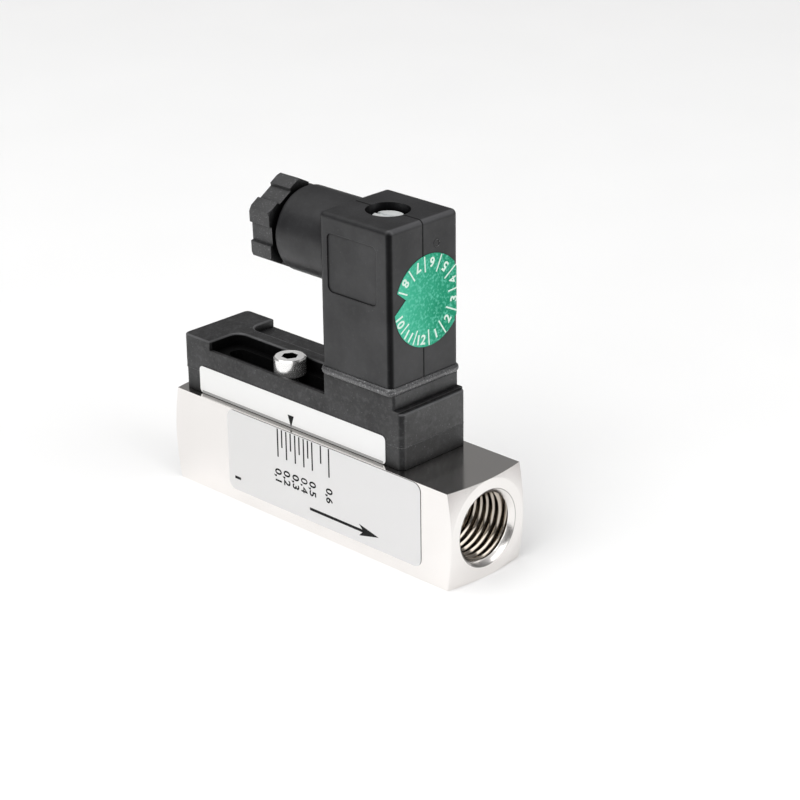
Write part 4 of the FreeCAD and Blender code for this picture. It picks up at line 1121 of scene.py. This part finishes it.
@dataclass
class DateSticker:
    """The round green sticker: plain numbers 1 to 12 round its rim, bent over the plug's edge.

    Sizes are in millimetres and turns in degrees. The print's centre is at centre_y, and the film's
    at film_y, because the print is off the film's middle.
    """

    radius: float = 7.7
    centre_y: float = 0.41
    film_y: float = 0.95
    height: float = 12.7
    turn: float = -101.6
    hour_turn: float = 30.0
    number_height: float = 1.65
    number_bold: float = 0.03
    number_radius: float = 6.3
    tick_inner: float = 4.9
    tick_width: float = 0.26
    tick_margin: float = 0.12
    cut_at_hour: int = 9
    corner: float = 1.0
    film: float = 0.1
    cut_step: float = 0.16

    def bend(self, piece: Piece, face_x: float, edge_y: float, middle_z: float) -> None:
        """Wraps a flat pattern round the plug's edge.

        Args:
            piece: the flat pattern, in x and y with its ink upwards.
            face_x: the plug's outlet face.
            edge_y: the plug's far side.
            middle_z: the height of the sticker's centre.
        """
        corner, centre, cut_step = mm(self.corner, self.centre_y, self.cut_step)
        start, quarter = edge_y - corner, math.pi / 2 * corner
        for step in range(-1, int(quarter / cut_step) + 2):
            cut = start + step * cut_step - centre
            Bench.choose(piece, Pick.VERTS)
            bpy.ops.mesh.bisect(plane_co=(cut, 0.0, 0.0), plane_no=(1.0, 0.0, 0.0))
        bpy.ops.object.mode_set(mode="OBJECT")
        for vertex in piece.data.vertices:
            along, up, rise = vertex.co
            past, lift = centre + along - start, self.film * MM + rise
            if past <= 0:
                spot = (face_x + lift, centre + along)
            elif past < quarter:
                turn = past / corner
                spot = (face_x - corner + (corner + lift) * math.cos(turn),
                        start + (corner + lift) * math.sin(turn))
            else:
                spot = (face_x - corner - (past - quarter), edge_y + lift)
            vertex.co = (*spot, middle_z + up)

    def tick(self, ink: Print, name: str, turn: float) -> Piece:
        """One tick between two numbers, out to a margin inside the film's rim."""
        along = Vector((math.cos(turn), math.sin(turn)))
        across = Vector((-along.y, along.x)) * self.tick_width / 2
        apart, rim = self.film_y - self.centre_y, self.radius - self.tick_margin
        inner = along * self.tick_inner
        outer = along * (apart * along.x + math.sqrt(rim ** 2 - (apart * along.y) ** 2))
        return ink.patch(name, [inner - across, outer - across, outer + across, inner + across])

    def build(self, nodes: Nodes) -> None:
        """Prints the sticker's numbers and ticks and dresses the film."""
        low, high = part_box("plug_housing")
        ink = Print(Matrix.Identity(4), 0.01 * MM)
        marks = []
        for hour in (hour for hour in range(1, 13) if hour != self.cut_at_hour):
            angle = math.radians(self.turn + self.hour_turn * (hour % 12))
            centre = (self.number_radius * math.cos(angle), self.number_radius * math.sin(angle))
            marks.append(ink.number(f"hour_{hour}", str(hour), self.number_height, centre,
                                    angle + math.pi / 2, self.number_bold))
            marks.append(self.tick(ink, f"tick_{hour}", angle + math.radians(self.hour_turn / 2)))
        piece = Bench.join("sticker_print", marks)
        self.bend(piece, high.x, high.y, low.z + self.height * MM)
        Bench.finish(piece, Ride.PLUG, Slot.STICKER, "white")
        dress(nodes, film="date_sticker")


@dataclass
class Studio:
    """The pale floor, the soft light and the camera."""

    camera_place: Point = (0.299508, -0.256871, 0.169935)
    azimuth: float = 44.552
    elevation: float = 23.041
    roll: float = -0.714
    lens: float = 108.585
    sensor: float = 36.0
    floor_size: float = 12.0
    floor_gap: float = 2e-5
    middle: Point = (0.033, 0.0, 0.015)
    lamps: tuple[tuple[str, Point, float, float], ...] = (
        ("overhead", (-0.1, -0.35, 1.1), 1.2, 7.4), ("near_side", (0.15, -1.0, 0.55), 0.9, 4.6),
        ("outlet_side", (1.0, 0.15, 0.6), 0.9, 4.4))
    sky: tuple[Pair, ...] = (
        (0.0, 0.10), (0.2, 0.12), (0.36, 0.22), (0.5, 0.18), (0.75, 0.5), (1.0, 0.9))

    def camera(self) -> None:
        """Sets the camera at the viewing angle."""
        Bench.clear()
        bpy.ops.object.camera_add()
        camera = bpy.context.active_object
        camera.name = "camera"
        camera.data.lens = self.lens
        camera.data.sensor_width = self.sensor
        camera.data.clip_start, camera.data.clip_end = 0.01, 50.0
        place = Matrix.Translation(self.camera_place)
        for turn, axis in ((self.azimuth, "Z"), (90.0 - self.elevation, "X"), (self.roll, "Z")):
            place = place @ Matrix.Rotation(math.radians(turn), 4, axis)
        camera.matrix_world = place
        bpy.context.scene.camera = camera

    def lamp(self, name: str, place: Point, size: float, power: float) -> None:
        """Adds a square soft light that looks at the object's middle."""
        bpy.ops.object.light_add(type="AREA", location=place)
        light = bpy.context.active_object
        light.name = name
        light.data.size = size
        light.data.energy = power
        away = Vector(place) - Vector(self.middle)
        light.rotation_mode = "QUATERNION"
        light.rotation_quaternion = away.to_track_quat("Z", "Y")

    def world(self) -> None:
        """A studio surround: pale at the horizon, grey behind the object, bright overhead."""
        world = bpy.data.worlds.new("studio")
        bpy.context.scene.world = world
        world.use_nodes = True
        tree = world.node_tree
        coordinates, axes, ramp = (tree.nodes.new(f"ShaderNode{kind}")
                                   for kind in ("TexCoord", "SeparateXYZ", "ValToRGB"))
        tree.links.new(coordinates.outputs["Generated"], axes.inputs["Vector"])
        tree.links.new(axes.outputs["Z"], ramp.inputs["Fac"])
        tree.links.new(ramp.outputs["Color"], tree.nodes["Background"].inputs["Color"])
        stops = ramp.color_ramp.elements
        stops[0].position, stops[1].position = self.sky[0][0], self.sky[-1][0]
        for position, _ in self.sky[1:-1]:
            stops.new(position)
        for stop, (_, level) in zip(stops, self.sky):
            stop.color = (level, level * 0.995, level * 0.99, 1.0)

    def build(self) -> None:
        """Lays the floor and sets the lights and the camera."""
        Bench.clear()
        floor_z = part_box("flow_body")[0].z - self.floor_gap
        bpy.ops.mesh.primitive_plane_add(size=self.floor_size, location=(0.0, 0.0, floor_z))
        floor = Bench.settle("studio_floor")
        floor.data.materials.append(material("floor"))
        self.world()
        for lamp in self.lamps:
            self.lamp(*lamp)
        self.camera()
        bpy.context.scene.view_settings.view_transform = "Standard"


def main() -> None:
    """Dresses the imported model."""
    logging.basicConfig(level=logging.INFO, format="%(message)s")
    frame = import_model()
    Studio().build()
    for assembly in (FlowBody(), ScalePlate(), SwitchHousing(), CablePlug(), DateSticker()):
        LOG.info("building %s", type(assembly).__name__)
        assembly.build(frame["nodes"])


if __name__ == "__main__":
    main()
